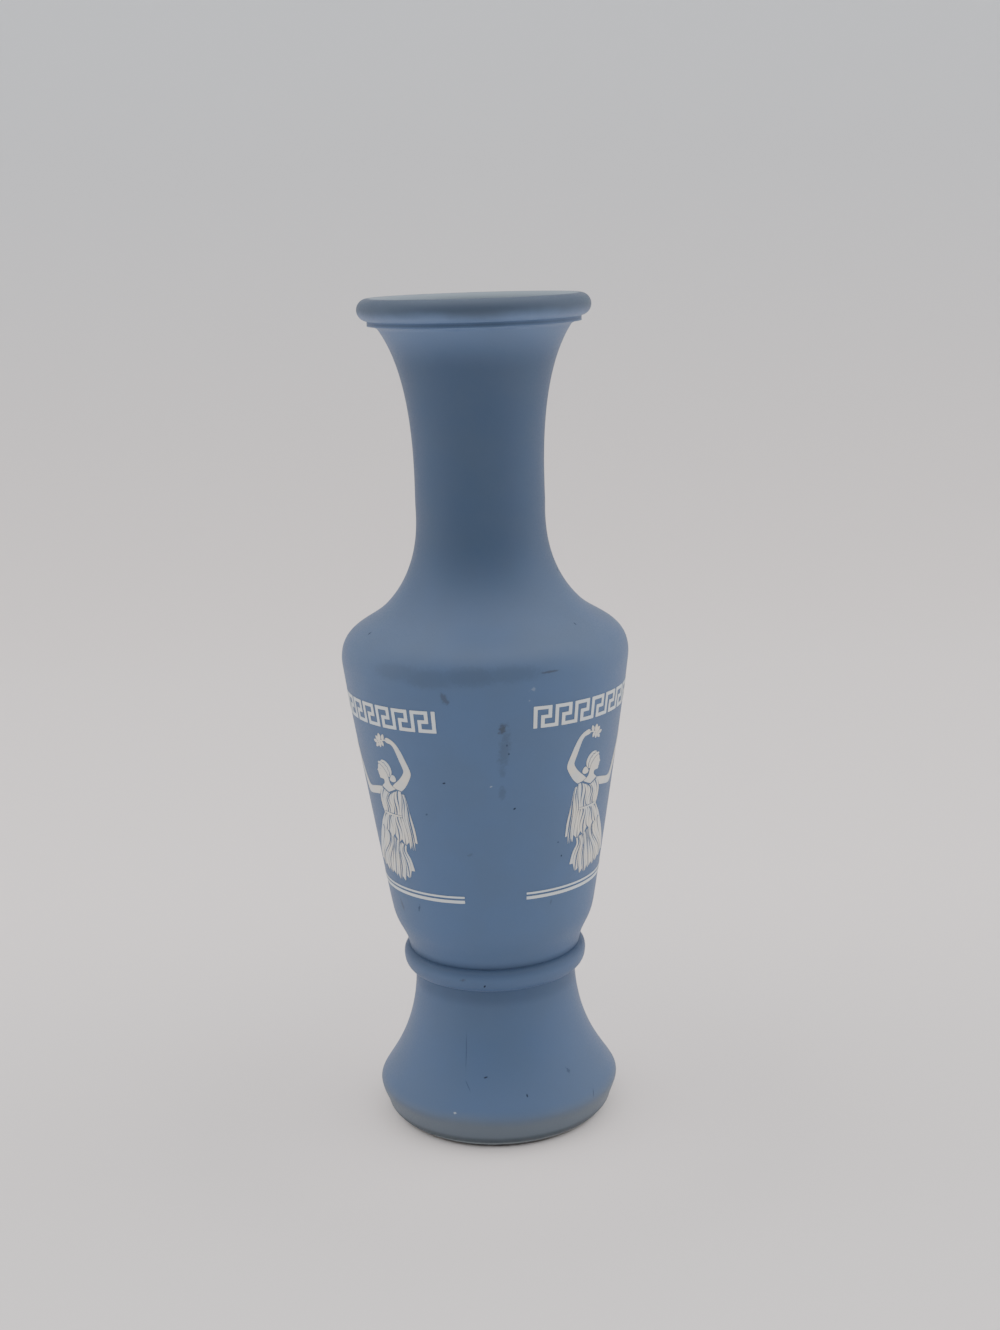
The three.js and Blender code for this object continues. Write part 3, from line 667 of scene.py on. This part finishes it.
def coatMaterial(finish):
    material, tree, shader = newMaterial("satin blue coat")
    position = put(tree, "ShaderNodeTexCoord").outputs["Object"]
    grain = put(tree, "ShaderNodeGroup", {}, node_tree=grainGroup)
    tree.links.new(position, grain.inputs["Position"])
    grain.inputs["Grain Size"].default_value = 0.35
    grain.inputs["Cloud Size"].default_value = 14.0
    parts = put(tree, "ShaderNodeSeparateXYZ", {0: position}).outputs
    height = sums(tree, "ADD", parts["Z"], sums(
        tree, "MULTIPLY", sums(tree, "SUBTRACT", grain.outputs["Cloud"], 0.5), 0.0022))
    lip = mapped(tree, height, 0.1762, 0.1788)
    heel = mapped(tree, height, 0.0098, 0.0056)
    cloudy = mapped(tree, grain.outputs["Cloud"], 0.3, 0.7, 0.0, 0.2)
    colour = finish["footBlue"]
    # the last tone, on the flare's top, is painted light from below
    for tone, low, high in (
            ("bodyBlue", 0.036, 0.05), ("shoulderBlue", 0.102, 0.112), ("neckBlue", 0.112, 0.132),
            ("flarePaintedLight", 0.166, 0.1765)):
        colour = mixed(tree, mapped(tree, height, low, high), colour, finish[tone])
    colour = mixed(tree, cloudy, colour, finish["thinBlue"])
    colour = mixed(tree, sums(tree, "MULTIPLY", lip, 0.8), colour, finish["lipBlue"])
    flat = put(tree, "ShaderNodeCombineXYZ", {"X": parts["X"], "Y": parts["Y"]}).outputs[0]
    radius = put(tree, "ShaderNodeVectorMath", {0: flat}, operation="LENGTH").outputs["Value"]
    inside = sums(tree, "MULTIPLY", lip, mapped(tree, radius, 0.0223, 0.0214))
    colour = mixed(tree, inside, colour, finish["insideGrey"])
    colour = mixed(tree, sums(tree, "MULTIPLY", heel, 0.9), colour, finish["heelGrey"])
    colour = mixed(tree, mapped(tree, parts["Z"], 0.0034, 0.0023), colour, finish["heelShade"])
    # painted reflection: a pale line on the coat at the very bottom of the heel
    colour = mixed(tree, mapped(tree, parts["Z"], 0.0017, 0.0009), colour, finish["heelPaintedReflection"])
    # painted shade along each crease, strongest at its middle
    for level, halfHeight, strength in paintedCreaseShade:
        away = sums(tree, "ABSOLUTE", sums(tree, "SUBTRACT", parts["Z"], level * mm))
        colour = mixed(tree, mapped(tree, away, 0.0, halfHeight * mm, strength, 0.0), colour, finish["creaseShade"])
    colour = mixed(tree, darkest(tree, position, smudges), colour, finish["smudge"])
    specks = put(tree, "ShaderNodeGroup", {}, node_tree=speckGroup)
    tree.links.new(position, specks.inputs["Position"])
    specks.inputs["Spacing"].default_value = 13.0
    specks.inputs["Largest"].default_value = 0.34
    specks.inputs["Share"].default_value = 0.16
    marks = darkest(tree, position, chips + scratches, specks.outputs["Mask"])
    colour = mixed(tree, marks, colour, finish["chip"])
    colour = mixed(tree, darkest(tree, position, paleSpots), colour, finish["pale"])
    tree.links.new(colour, shader.inputs["Base Color"])
    rough = mapped(tree, grain.outputs["Grain"], 0.3, 0.7, finish["roughness"] - 0.05, finish["roughness"] + 0.07)
    tree.links.new(sums(tree, "ADD", rough, sums(tree, "MULTIPLY", marks, 0.2)), shader.inputs["Roughness"])
    relief = sums(tree, "SUBTRACT", grain.outputs["Grain"], sums(tree, "MULTIPLY", marks, 3.0))
    bump = put(tree, "ShaderNodeBump", {"Height": relief, "Distance": finish["bump"], "Strength": 0.6})
    tree.links.new(bump.outputs[0], shader.inputs["Normal"])
    shader.inputs["Specular IOR Level"].default_value = 0.2
    return material


lineInk = {"warm": (0.53, 0.53, 0.52, 1), "cool": (0.5, 0.53, 0.56, 1), "worn": (0.3, 0.342, 0.392, 1)}
figureInk = {"warm": (0.56, 0.515, 0.455, 1), "cool": (0.485, 0.49, 0.495, 1), "worn": (0.27, 0.285, 0.3, 1)}


def inkMaterial(name, finish):
    material, tree, shader = newMaterial(name)
    position = put(tree, "ShaderNodeTexCoord").outputs["Object"]
    grain = put(tree, "ShaderNodeGroup", {}, node_tree=grainGroup)
    tree.links.new(position, grain.inputs["Position"])
    grain.inputs["Grain Size"].default_value = 0.5
    grain.inputs["Cloud Size"].default_value = 4.0
    colour = mixed(tree, mapped(tree, grain.outputs["Cloud"], 0.35, 0.65), finish["cool"], finish["warm"])
    thin = mapped(tree, grain.outputs["Grain"], 0.62, 0.8, 0.0, 0.5)
    colour = mixed(tree, thin, colour, finish["worn"])
    specks = put(tree, "ShaderNodeGroup", {}, node_tree=speckGroup)
    tree.links.new(position, specks.inputs["Position"])
    specks.inputs["Spacing"].default_value = 3.0
    specks.inputs["Largest"].default_value = 0.16
    specks.inputs["Share"].default_value = 0.3
    colour = mixed(tree, specks.outputs["Mask"], colour, finish["worn"])
    tree.links.new(colour, shader.inputs["Base Color"])
    tree.links.new(mapped(tree, grain.outputs["Grain"], 0.3, 0.7, 0.55, 0.7), shader.inputs["Roughness"])
    bump = put(tree, "ShaderNodeBump", {"Height": grain.outputs["Grain"], "Distance": 0.00001})
    tree.links.new(bump.outputs[0], shader.inputs["Normal"])
    return material


glassFinish = {"colour": (0.86, 0.91, 0.93, 1), "roughness": 0.04, "wornRoughness": 0.25}


def glassMaterial(finish):
    material, tree, shader = newMaterial("clear glass")
    position = put(tree, "ShaderNodeTexCoord").outputs["Object"]
    grain = put(tree, "ShaderNodeGroup", {}, node_tree=grainGroup)
    tree.links.new(position, grain.inputs["Position"])
    grain.inputs["Grain Size"].default_value = 3.0
    grain.inputs["Cloud Size"].default_value = 20.0
    shader.inputs["Base Color"].default_value = finish["colour"]
    shader.inputs["Transmission Weight"].default_value = 1.0
    shader.inputs["IOR"].default_value = 1.5
    rough = mapped(tree, grain.outputs["Cloud"], 0.3, 0.7, finish["roughness"] * 0.5, finish["roughness"] * 2)
    height = put(tree, "ShaderNodeSeparateXYZ", {0: position}).outputs["Z"]
    worn = mapped(tree, height, 0.0045, 0.0035, 0.0, finish["wornRoughness"])
    tree.links.new(sums(tree, "MAXIMUM", rough, worn), shader.inputs["Roughness"])
    bump = put(tree, "ShaderNodeBump", {"Height": grain.outputs["Grain"], "Distance": 0.00003})
    tree.links.new(bump.outputs[0], shader.inputs["Normal"])
    return material


blueCoat = coatMaterial(coatFinish)
whiteLines = inkMaterial("white line ink", lineInk)
whiteFigures = inkMaterial("white figure ink", figureInk)
clearGlass = glassMaterial(glassFinish)
print("materials made")


# The turned pieces

turner = turnTree()


def turnedPiece(name, line, finish):
    piece = builtBy(turner, name, outlineMesh(name, line), {"Sides": vaseSizes["sides"], "Finish": finish})
    mesh = piece.data
    work = bmesh.new()
    work.from_mesh(mesh)
    bmesh.ops.dissolve_degenerate(work, dist=1e-7, edges=work.edges)
    if work.calc_volume(signed=True) < 0:
        bmesh.ops.reverse_faces(work, faces=work.faces)
    work.to_mesh(mesh)
    work.free()
    mesh.set_sharp_from_angle(angle=math.radians(38))
    return piece


glassBody = turnedPiece("clear_glass_wall", glassLine, clearGlass)
coatBody = turnedPiece("satin_blue_skin", coatLine + coatLine[:1], blueCoat)
print("glass and coat turned", len(glassBody.data.polygons), len(coatBody.data.polygons))


# The print

panelSizes = {
    "centres": {"left": -91.15, "right": 88.85},   # degrees from the front, positive towards +X
    "lifts": {"left": 0.0, "right": 0.48},
    "endRise": 0.45,       # the print climbs by this much from a panel's centre to the ends of its key
}
lineSizes = {
    "aboveCup": 5.95,
    "thick": 0.65,
    "gap": 0.52,
    "thin": 0.39,
    "start": -71.6,
    "end": 76.5,
}
keySizes = {
    "span": 141.1,
    "count": 15,
    "height": 4.67,
}
figureSizes = {
    "aboveLine": 1.56,
    "height": 33.8,
    "belowKey": 1.73,
    "offset": 18.0,        # half the distance between the centre lines of a panel's two figures
    "shift": 0.5,          # both figures stand this much towards +X of the panel's centre
    "foldGap": 0.26,        # half the widest fold
    "longestEdge": 1.0,
}

thickLevel = cupLevel + lineSizes["aboveCup"]
thinLevel = thickLevel + lineSizes["thick"] + lineSizes["gap"]
figureLevel = thinLevel + lineSizes["thin"] + figureSizes["aboveLine"]
keyLevel = figureLevel + figureSizes["height"] + figureSizes["belowKey"]
printRadius = coatRadius(figureLevel + figureSizes["height"] / 2)
stroke = math.radians(keySizes["span"]) * printRadius / (6 * keySizes["count"] + 1)
halfKey = math.radians(keySizes["span"]) * printRadius / 2


# One unit of the key on a grid of strokes: columns from the bar, rows from the foot.
def keyUnit():
    columns = [0, 0.96, 2.02, 2.98, 4.02, 4.98, 6]
    rows = [0, 0.9, 2.55, 3.45, 5.1, 6]
    filled = {0: (0, 1, 2, 3, 4), 1: (4,), 2: (0, 1, 2, 4), 3: (0, 2, 4), 4: (0, 2, 3, 4), 5: (0,)}
    row = keySizes["height"] / 6
    points = [(x * stroke * mm, 0, y * row * mm) for x in columns for y in rows]
    count = len(rows)
    faces = []
    for x, cells in filled.items():
        for y in cells:
            corner = x * count + y
            faces.append((corner, corner + count, corner + count + 1, corner + 1))
    used = sorted({i for face in faces for i in face})
    place = {old: new for new, old in enumerate(used)}
    return meshOf("key unit", [points[i] for i in used], (), [[place[i] for i in face] for face in faces])


# Drawing of one maiden, x towards the end of the panel and y up from her hem, in drawn units. A third
# number marks a corner. Each cloth hangs between a left and a right edge, and its folds are shares of the
# width at the top and at the hem.
skirt = {
    "left": [(-5.6, 11.7), (-7.4, 9.2), (-9.2, 6.6), (-10.5, 4.6), (-11.2, 2.9)],
    "right": [(-1.0, 9.9), (-1.5, 7.4), (-2.4, 4.2), (-3.3, 1.3)],
    "folds": [(0.2, 0.13), (0.4, 0.28), (0.55, 0.42), (0.66, 0.55), (0.76, 0.66), (0.84, 0.78), (0.92, 0.89)],
    "dip": (0.5, 0.0),
    "bulge": 0.5,
    "zigzag": 0.4,
    "sway": 1.1,
}
train = {
    "left": [(-0.7, 9.8), (-1.15, 7.2), (-2.0, 4.2), (-2.9, 1.1)],
    "right": [(3.0, 8.6), (2.7, 7.3), (3.7, 5.7), (4.35, 3.6)],
    "folds": [(0.12, 0.1), (0.25, 0.22), (0.37, 0.34), (0.49, 0.46), (0.61, 0.58), (0.74, 0.71), (0.87, 0.85)],
    "dip": (0.5, 0.0),
    "bulge": 1.5,
    "zigzag": 0.5,
    "sway": -0.3,
}
overfold = {
    "left": [(-2.95, 15.05), (-3.75, 14.1), (-4.8, 12.9), (-5.7, 11.8)],
    "right": [(3.2, 15.0), (3.6, 13.6), (3.9, 11.6), (4.05, 9.2)],
    "folds": [(0.1, 0.09), (0.21, 0.2), (0.32, 0.32), (0.43, 0.43), (0.54, 0.55), (0.66, 0.67), (0.78, 0.78), (0.9, 0.89)],
    "dip": (0.5, 0.0),
    "bulge": 0.3,
    "zigzag": 0.5,
    "sway": -0.35,
}
bodice = {
    "left": [(-2.2, 20.95), (-3.1, 19.3), (-3.4, 18.0), (-3.25, 16.6), (-2.95, 15.6)],
    "right": [(3.95, 21.0), (3.9, 19.6), (3.65, 18.0), (3.3, 16.7), (3.2, 15.55)],
    "folds": [(0.12, 0.14), (0.24, 0.26), (0.36, 0.38), (0.48, 0.5), (0.6, 0.62), (0.73, 0.74), (0.87, 0.87)],
    "dip": (0.42, 1.1),
    "bulge": 0.0,
    "zigzag": 0.0,
    "sway": -0.45,
}
mantle = {
    "left": [(4.08, 20.5), (4.0, 18.2), (3.4, 15.4), (4.05, 12.0), (4.2, 8.7)],
    "right": [(4.9, 20.4), (5.35, 17.6), (5.85, 15.0), (6.35, 12.4), (6.45, 10.3)],
    "folds": [(0.3, 0.22), (0.55, 0.48), (0.8, 0.74)],
    "dip": (0.5, 0.0),
    "bulge": 0.9,
    "zigzag": 0.6,
    "sway": 0.1,
}
belt = [(-2.9, 15.15, 1), (0.1, 15.0), (3.15, 15.12, 1), (3.15, 15.46, 1), (0.1, 15.36), (-2.9, 15.5, 1)]
raisedArm = [
    (4.3, 21.2, 1), (5.4, 22.1), (6.6, 23.7), (7.35, 25.2), (7.2, 26.4), (6.5, 28.1), (5.7, 29.9), (4.9, 31.2),
    (4.2, 31.9), (3.4, 32.35), (2.5, 32.6), (2.0, 32.35), (2.35, 32.05), (1.9, 31.75), (2.5, 31.5),
    (3.3, 31.35), (3.9, 30.8), (4.4, 29.7), (5.0, 28.0), (5.6, 26.4), (5.65, 25.6), (5.0, 24.6), (3.9, 23.5),
    (2.7, 22.6), (1.9, 21.9, 1), (2.9, 21.45),
]
openArm = [
    (-1.75, 21.15, 1), (-3.4, 20.9), (-5.6, 20.4), (-7.1, 20.1), (-8.4, 20.35), (-9.5, 21.7), (-10.8, 23.9),
    (-12.0, 25.8), (-12.75, 27.0), (-13.1, 27.8), (-13.75, 28.4), (-13.9, 28.0), (-13.55, 27.4), (-14.1, 27.5),
    (-13.95, 26.9), (-13.3, 25.9), (-12.4, 24.2), (-11.3, 22.0), (-10.3, 20.1), (-9.6, 18.85), (-8.7, 18.3),
    (-7.4, 18.4), (-5.4, 18.8), (-3.45, 19.15, 1), (-2.6, 20.4),
]
face = [
    (-1.7, 26.2, 1), (-1.95, 25.85), (-2.08, 25.35), (-2.3, 24.95), (-2.55, 24.62), (-2.2, 24.42),
    (-2.3, 24.2), (-2.14, 24.02), (-2.24, 23.84), (-2.0, 23.62), (-2.05, 23.3), (-1.75, 23.02), (-1.1, 23.05),
    (-0.6, 22.9), (-0.62, 22.2), (-1.35, 21.6), (-1.75, 21.4, 1), (-0.6, 20.75), (0.3, 20.35, 1), (1.5, 20.85),
    (2.6, 21.35, 1), (1.65, 21.85), (1.1, 22.4), (0.95, 23.1), (0.82, 23.75, 1), (0.62, 24.45), (0.22, 25.05),
    (-0.3, 25.6), (-1.0, 26.0),
]
brow = [(-1.75, 25.18, 1), (-1.45, 25.28), (-1.1, 25.2, 1), (-1.42, 25.14)]
frontHair = [
    (-1.8, 26.4, 1), (-1.7, 26.75), (-1.15, 26.78), (-0.7, 26.95), (-0.25, 26.62), (0.25, 26.6), (0.6, 26.15),
    (1.05, 25.9), (1.15, 25.35), (1.45, 24.95), (1.35, 24.4), (1.45, 23.9), (1.0, 23.85, 1), (0.78, 24.55),
    (0.38, 25.2), (-0.2, 25.78), (-0.95, 26.2),
]
backHair = [
    (-0.95, 27.05, 1), (-0.3, 27.32), (0.6, 27.25), (1.45, 26.8), (2.05, 26.0), (2.2, 25.2), (2.05, 24.6),
    (1.65, 24.1, 1), (1.6, 24.6), (1.66, 25.0), (1.35, 25.45), (1.25, 26.0), (0.75, 26.35), (0.35, 26.8),
    (-0.2, 26.82), (-0.6, 27.1),
]
bun = [
    (1.35, 23.3), (1.6, 23.8), (2.0, 24.3), (2.65, 24.35), (3.1, 23.85), (3.05, 23.25), (2.45, 22.9),
    (1.75, 22.95)]
stem = [(2.2, 32.15, 1), (0.9, 31.95), (-0.9, 31.2, 1), (-0.8, 31.0, 1), (1.0, 31.7), (2.2, 31.9, 1)]
leaves = [
    (1.25, 32.55, 70, 1.4), (0.85, 31.15, -65, 1.3), (0.2, 32.45, 95, 1.6), (-0.45, 32.0, 130, 1.4),
    (0.1, 30.85, -85, 1.3), (-1.1, 31.35, 160, 1.3), (-0.75, 30.6, -130, 1.2),
]


def smoothOutline(points, steps=3):
    line = []
    count = len(points)
    for i in range(count):
        row = [points[(i + k) % count] for k in (-1, 0, 1, 2)]
        before, here, there, beyond = (Vector(p[:2]) for p in row)
        if len(row[1]) > 2:
            before = here
        if len(row[2]) > 2:
            beyond = there
        for step in range(steps):
            t = step / steps
            line.append(0.5 * (2 * here + (there - before) * t + (2 * before - 5 * here + 4 * there - beyond) * t ** 2
                               + (3 * here - before - 3 * there + beyond) * t ** 3))
    return line


def openCurve(points, steps):
    line = []
    for i in range(steps + 1):
        spot = i / steps * (len(points) - 1)
        k = min(int(spot), len(points) - 2)
        t = spot - k
        before, here, there, beyond = (
            Vector(points[min(max(k + d, 0), len(points) - 1)]) for d in (-1, 0, 1, 2))
        line.append(0.5 * (2 * here + (there - before) * t + (2 * before - 5 * here + 4 * there - beyond) * t ** 2
                           + (3 * here - before - 3 * there + beyond) * t ** 3))
    return line


# A hanging cloth as upright strips of ink, with open folds of uneven width between them and a hem in zigzags.
def pleats(cloth, gap):
    steps = 12
    left = openCurve(cloth["left"], steps)
    right = openCurve(cloth["right"], steps)
    middle, depth = cloth["dip"]
    last = len(cloth["folds"]) + 1

    def foldLine(k, shares, sideways, drop):
        line = []
        inner = 0 < k < last
        for i in range(steps + 1):
            t = i / steps
            share = shares[0] + (shares[1] - shares[0]) * t
            spot = left[i].lerp(right[i], share)
            spot.y -= cloth["bulge"] * math.sin(math.pi * share) * t * t
            spot.y -= depth * max(0.0, 1 - 2.4 * abs(share - middle)) * (1 - t) ** 2
            spot.y += drop * t ** 8
            spot.x += cloth["sway"] * math.sin(math.pi * share) * math.sin(2 * math.pi * t)
            if inner:
                spot.x += 0.1 * math.sin(5 * t + 2.4 * k)
                spot.x += sideways * gap * (0.55 + 0.45 * math.sin(4 * t + 1.9 * k))
            line.append(spot)
        return line

    strips = []
    folds = [(0.0, 0.0)] + cloth["folds"] + [(1.0, 1.0)]
    for k, (first, second) in enumerate(zip(folds, folds[1:])):
        lean = cloth["zigzag"] if k % 2 else -cloth["zigzag"]
        strips.append(foldLine(k, first, 1, lean) + foldLine(k + 1, second, -1, -lean)[::-1])
    return strips


def leafShape(x, y, lean, length):
    turn = math.radians(lean)
    axis = Vector((math.cos(turn), math.sin(turn)))
    side = Vector((-axis.y, axis.x))
    centre = Vector((x, y))
    outline = [(-0.5, 0), (-0.2, 0.24), (0.15, 0.25), (0.5, 0), (0.15, -0.25), (-0.2, -0.24)]
    return smoothOutline([centre + (axis * a + side * b) * length for a, b in outline], 2)


def maidenDrawing(sideways):
    gap = figureSizes["foldGap"]
    islands = [[strip] for cloth in (skirt, train, overfold, bodice, mantle) for strip in pleats(cloth, gap)]
    islands.append([smoothOutline(face), smoothOutline(brow, 2)])
    for shape in (belt, raisedArm, openArm, frontHair, backHair, bun, stem):
        islands.append([smoothOutline(shape)])
    islands += [[leafShape(*leaf)] for leaf in leaves]
    scale = figureSizes["height"] / 33.2
    work = bmesh.new()
    for island in islands:
        rings = [[
            Vector((
                figureSizes["shift"] + sideways * (figureSizes["offset"] + p.x * scale), 0,
                figureLevel + p.y * scale))
            for p in ring] for ring in island]
        corners = [work.verts.new(p * mm) for ring in rings for p in ring]
        for triangle in tessellate_polygon(rings):
            work.faces.new([corners[i] for i in triangle])
    longest = figureSizes["longestEdge"] * mm
    for _ in range(4):
        edges = [e for e in work.edges if e.calc_length() > longest]
        if not edges:
            break
        bmesh.ops.subdivide_edges(work, edges=edges, cuts=1)
        bmesh.ops.triangulate(work, faces=[f for f in work.faces if len(f.verts) > 3])
    work.normal_update()
    bmesh.ops.reverse_faces(work, faces=[f for f in work.faces if f.normal.y > 0])
    mesh = bpy.data.meshes.new("maiden drawing")
    work.to_mesh(mesh)
    work.free()
    return mesh


layer = layTree()
keyMaker = keyTree(layer)
ruleMaker = ruleTree(layer)
figureMaker = figureTree(layer)
printPieces = []


def inkPiece(tree, name, mesh, side, values, node):
    common = {
        "Coat": coatBody,
        "Panel Centre": math.radians(panelSizes["centres"][side]),
        "Print Radius": printRadius * mm,
        "Lift": panelSizes["lifts"][side] * mm,
        "End Rise": panelSizes["endRise"] * mm,
        "Half Width": halfKey * mm,
        "Seed": 3.0 if side == "left" else 8.0,
        "Ink": whiteFigures if tree == figureMaker else whiteLines,
    }
    piece = builtBy(tree, name, mesh, {**common, **values})
    printPieces.append((piece, node))
    return piece


unit = keyUnit()
for side in ("left", "right"):
    outward = 1 if side == "left" else -1
    for label, low, width in (("thick", thickLevel, lineSizes["thick"]), ("thin", thinLevel, lineSizes["thin"])):
        inkPiece(ruleMaker, f"{label}_line_{side}", meshOf("nothing", []), side, {
            "From": math.radians(lineSizes["start"]) * printRadius * mm,
            "To": math.radians(lineSizes["end"]) * printRadius * mm,
            "Low Edge": low * mm,
            "Width": width * mm,
            "Segments": 90,
        }, f"ground_line_{label}_{side}")
    inkPiece(keyMaker, f"running_key_{side}", unit.copy(), side, {
        "Count": keySizes["count"],
        "Stroke": stroke * mm,
        "Height": keySizes["height"] * mm,
        "Low Edge": keyLevel * mm,
    }, f"key_band_{side}")
    inkPiece(figureMaker, f"dancer_front_{side}", maidenDrawing(outward), side, {}, f"maiden_front_{side}")
    inkPiece(figureMaker, f"dancer_back_{side}", maidenDrawing(-outward), side, {}, f"maiden_back_{side}")
print("print laid on the coat", [(p.name, len(p.data.polygons)) for p, n in printPieces])


# Every piece rides on the vase's one body

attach(glassBody, "root")
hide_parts("glass_body")
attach(coatBody, "root")
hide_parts("blue_coat")
for piece, node in printPieces:
    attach(piece, "root")
    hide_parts(node)


# Floor and backdrop in one sweep

stageSizes = {
    "front": -900,
    "curveStart": 430,
    "curveRadius": 240,
    "top": 1100,
    "halfWidth": 1100,
}
stageFinish = {
    "floor": (0.763, 0.698, 0.682, 1),
    # painted shade of the photographer on the floor towards the camera
    "nearPaintedShade": (0.672, 0.625, 0.613, 1),
    # painted light round the vase and at its heel, lifting the vase's own shadow on the floor
    "underVasePaintedLight": (0.76, 0.697, 0.68, 1),
    "atHeelPaintedLight": (0.9, 0.84, 0.82, 1),
    "wall": (0.8, 0.806, 0.837, 1),
    "bounce": (0.95, 0.95, 0.95, 1),
}


def makeStage(sizes, finish):
    line = [Vector((sizes["front"], 0))]
    centre = (sizes["curveStart"], sizes["curveRadius"])
    line += arcOf(centre, sizes["curveRadius"], -90, 0, 24)
    line.append(Vector((sizes["curveStart"] + sizes["curveRadius"], sizes["top"])))
    half = sizes["halfWidth"]
    points = [(x * mm, p.x * mm, p.y * mm) for p in line for x in (-half, half)]
    faces = [(2 * i, 2 * i + 1, 2 * i + 3, 2 * i + 2) for i in range(len(line) - 1)]
    mesh = meshOf("sweep", points, (), faces)
    for polygon in mesh.polygons:
        polygon.use_smooth = True
    material, tree, shader = newMaterial("pale paper")
    place = put(tree, "ShaderNodeTexCoord").outputs["Object"]
    parts = put(tree, "ShaderNodeSeparateXYZ", {0: place}).outputs
    # painted shade: the floor grows darker towards the camera, where the photographer stands
    floor = mixed(tree, mapped(tree, parts["Y"], 0.15, -0.05), finish["floor"], finish["nearPaintedShade"])
    away = put(tree, "ShaderNodeVectorMath", {0: place}, operation="LENGTH").outputs["Value"]
    # painted light: the floor is lighter round the vase and lightest at its heel, lifting the vase's shadow
    floor = mixed(tree, mapped(tree, away, 0.07, 0.028), floor, finish["underVasePaintedLight"])
    floor = mixed(tree, mapped(tree, away, 0.028, 0.0225), floor, finish["atHeelPaintedLight"])
    colour = mixed(tree, mapped(tree, parts["Z"], 0.0, 0.35), floor, finish["wall"])
    colour = mixed(tree, put(tree, "ShaderNodeLightPath").outputs["Is Diffuse Ray"], colour, finish["bounce"])
    tree.links.new(colour, shader.inputs["Base Color"])
    shader.inputs["Roughness"].default_value = 0.85
    shader.inputs["Specular IOR Level"].default_value = 0.2
    mesh.materials.append(material)
    sweep = bpy.data.objects.new("sweep", mesh)
    bpy.context.scene.collection.objects.link(sweep)


makeStage(stageSizes, stageFinish)


# Soft light: a pale room that is dark only where the photographer stands

lightLevels = {
    "front": 0.0,
    "around": 1.7,
    "above": 2.64,
    "rightward": 0.09,    # how much brighter the right is than the middle
    "seen": 0.6,          # the room as the camera sees it behind the sweep
}


def makeLight(levels):
    world = bpy.data.worlds.new("pale room")
    world.use_nodes = True
    bpy.context.scene.world = world
    tree = world.node_tree
    tree.nodes.clear()
    way = put(tree, "ShaderNodeTexCoord").outputs["Generated"]
    parts = put(tree, "ShaderNodeSeparateXYZ", {0: way}).outputs
    level = mapped(tree, parts["Y"], -0.8, -0.2, levels["front"], levels["around"])
    high = mapped(tree, parts["Z"], 0.4, 1.0)
    level = sums(tree, "ADD", level, sums(
        tree, "MULTIPLY", high, sums(tree, "SUBTRACT", levels["above"], level)))
    lean = sums(tree, "ADD", 1.0, sums(tree, "MULTIPLY", parts["X"], levels["rightward"]))
    strength = sums(tree, "MULTIPLY", level, lean)
    path = put(tree, "ShaderNodeLightPath").outputs
    seen = sums(tree, "MAXIMUM", path["Is Camera Ray"], path["Is Transmission Ray"])
    strength = mapped(tree, seen, 0.0, 1.0, strength, levels["seen"], smooth=False)
    sky = put(tree, "ShaderNodeBackground", {"Color": (0.98, 0.99, 1.0, 1), "Strength": strength})
    out = tree.nodes.new("ShaderNodeOutputWorld")
    tree.links.new(sky.outputs[0], out.inputs[0])


makeLight(lightLevels)
print("stage and light ready")
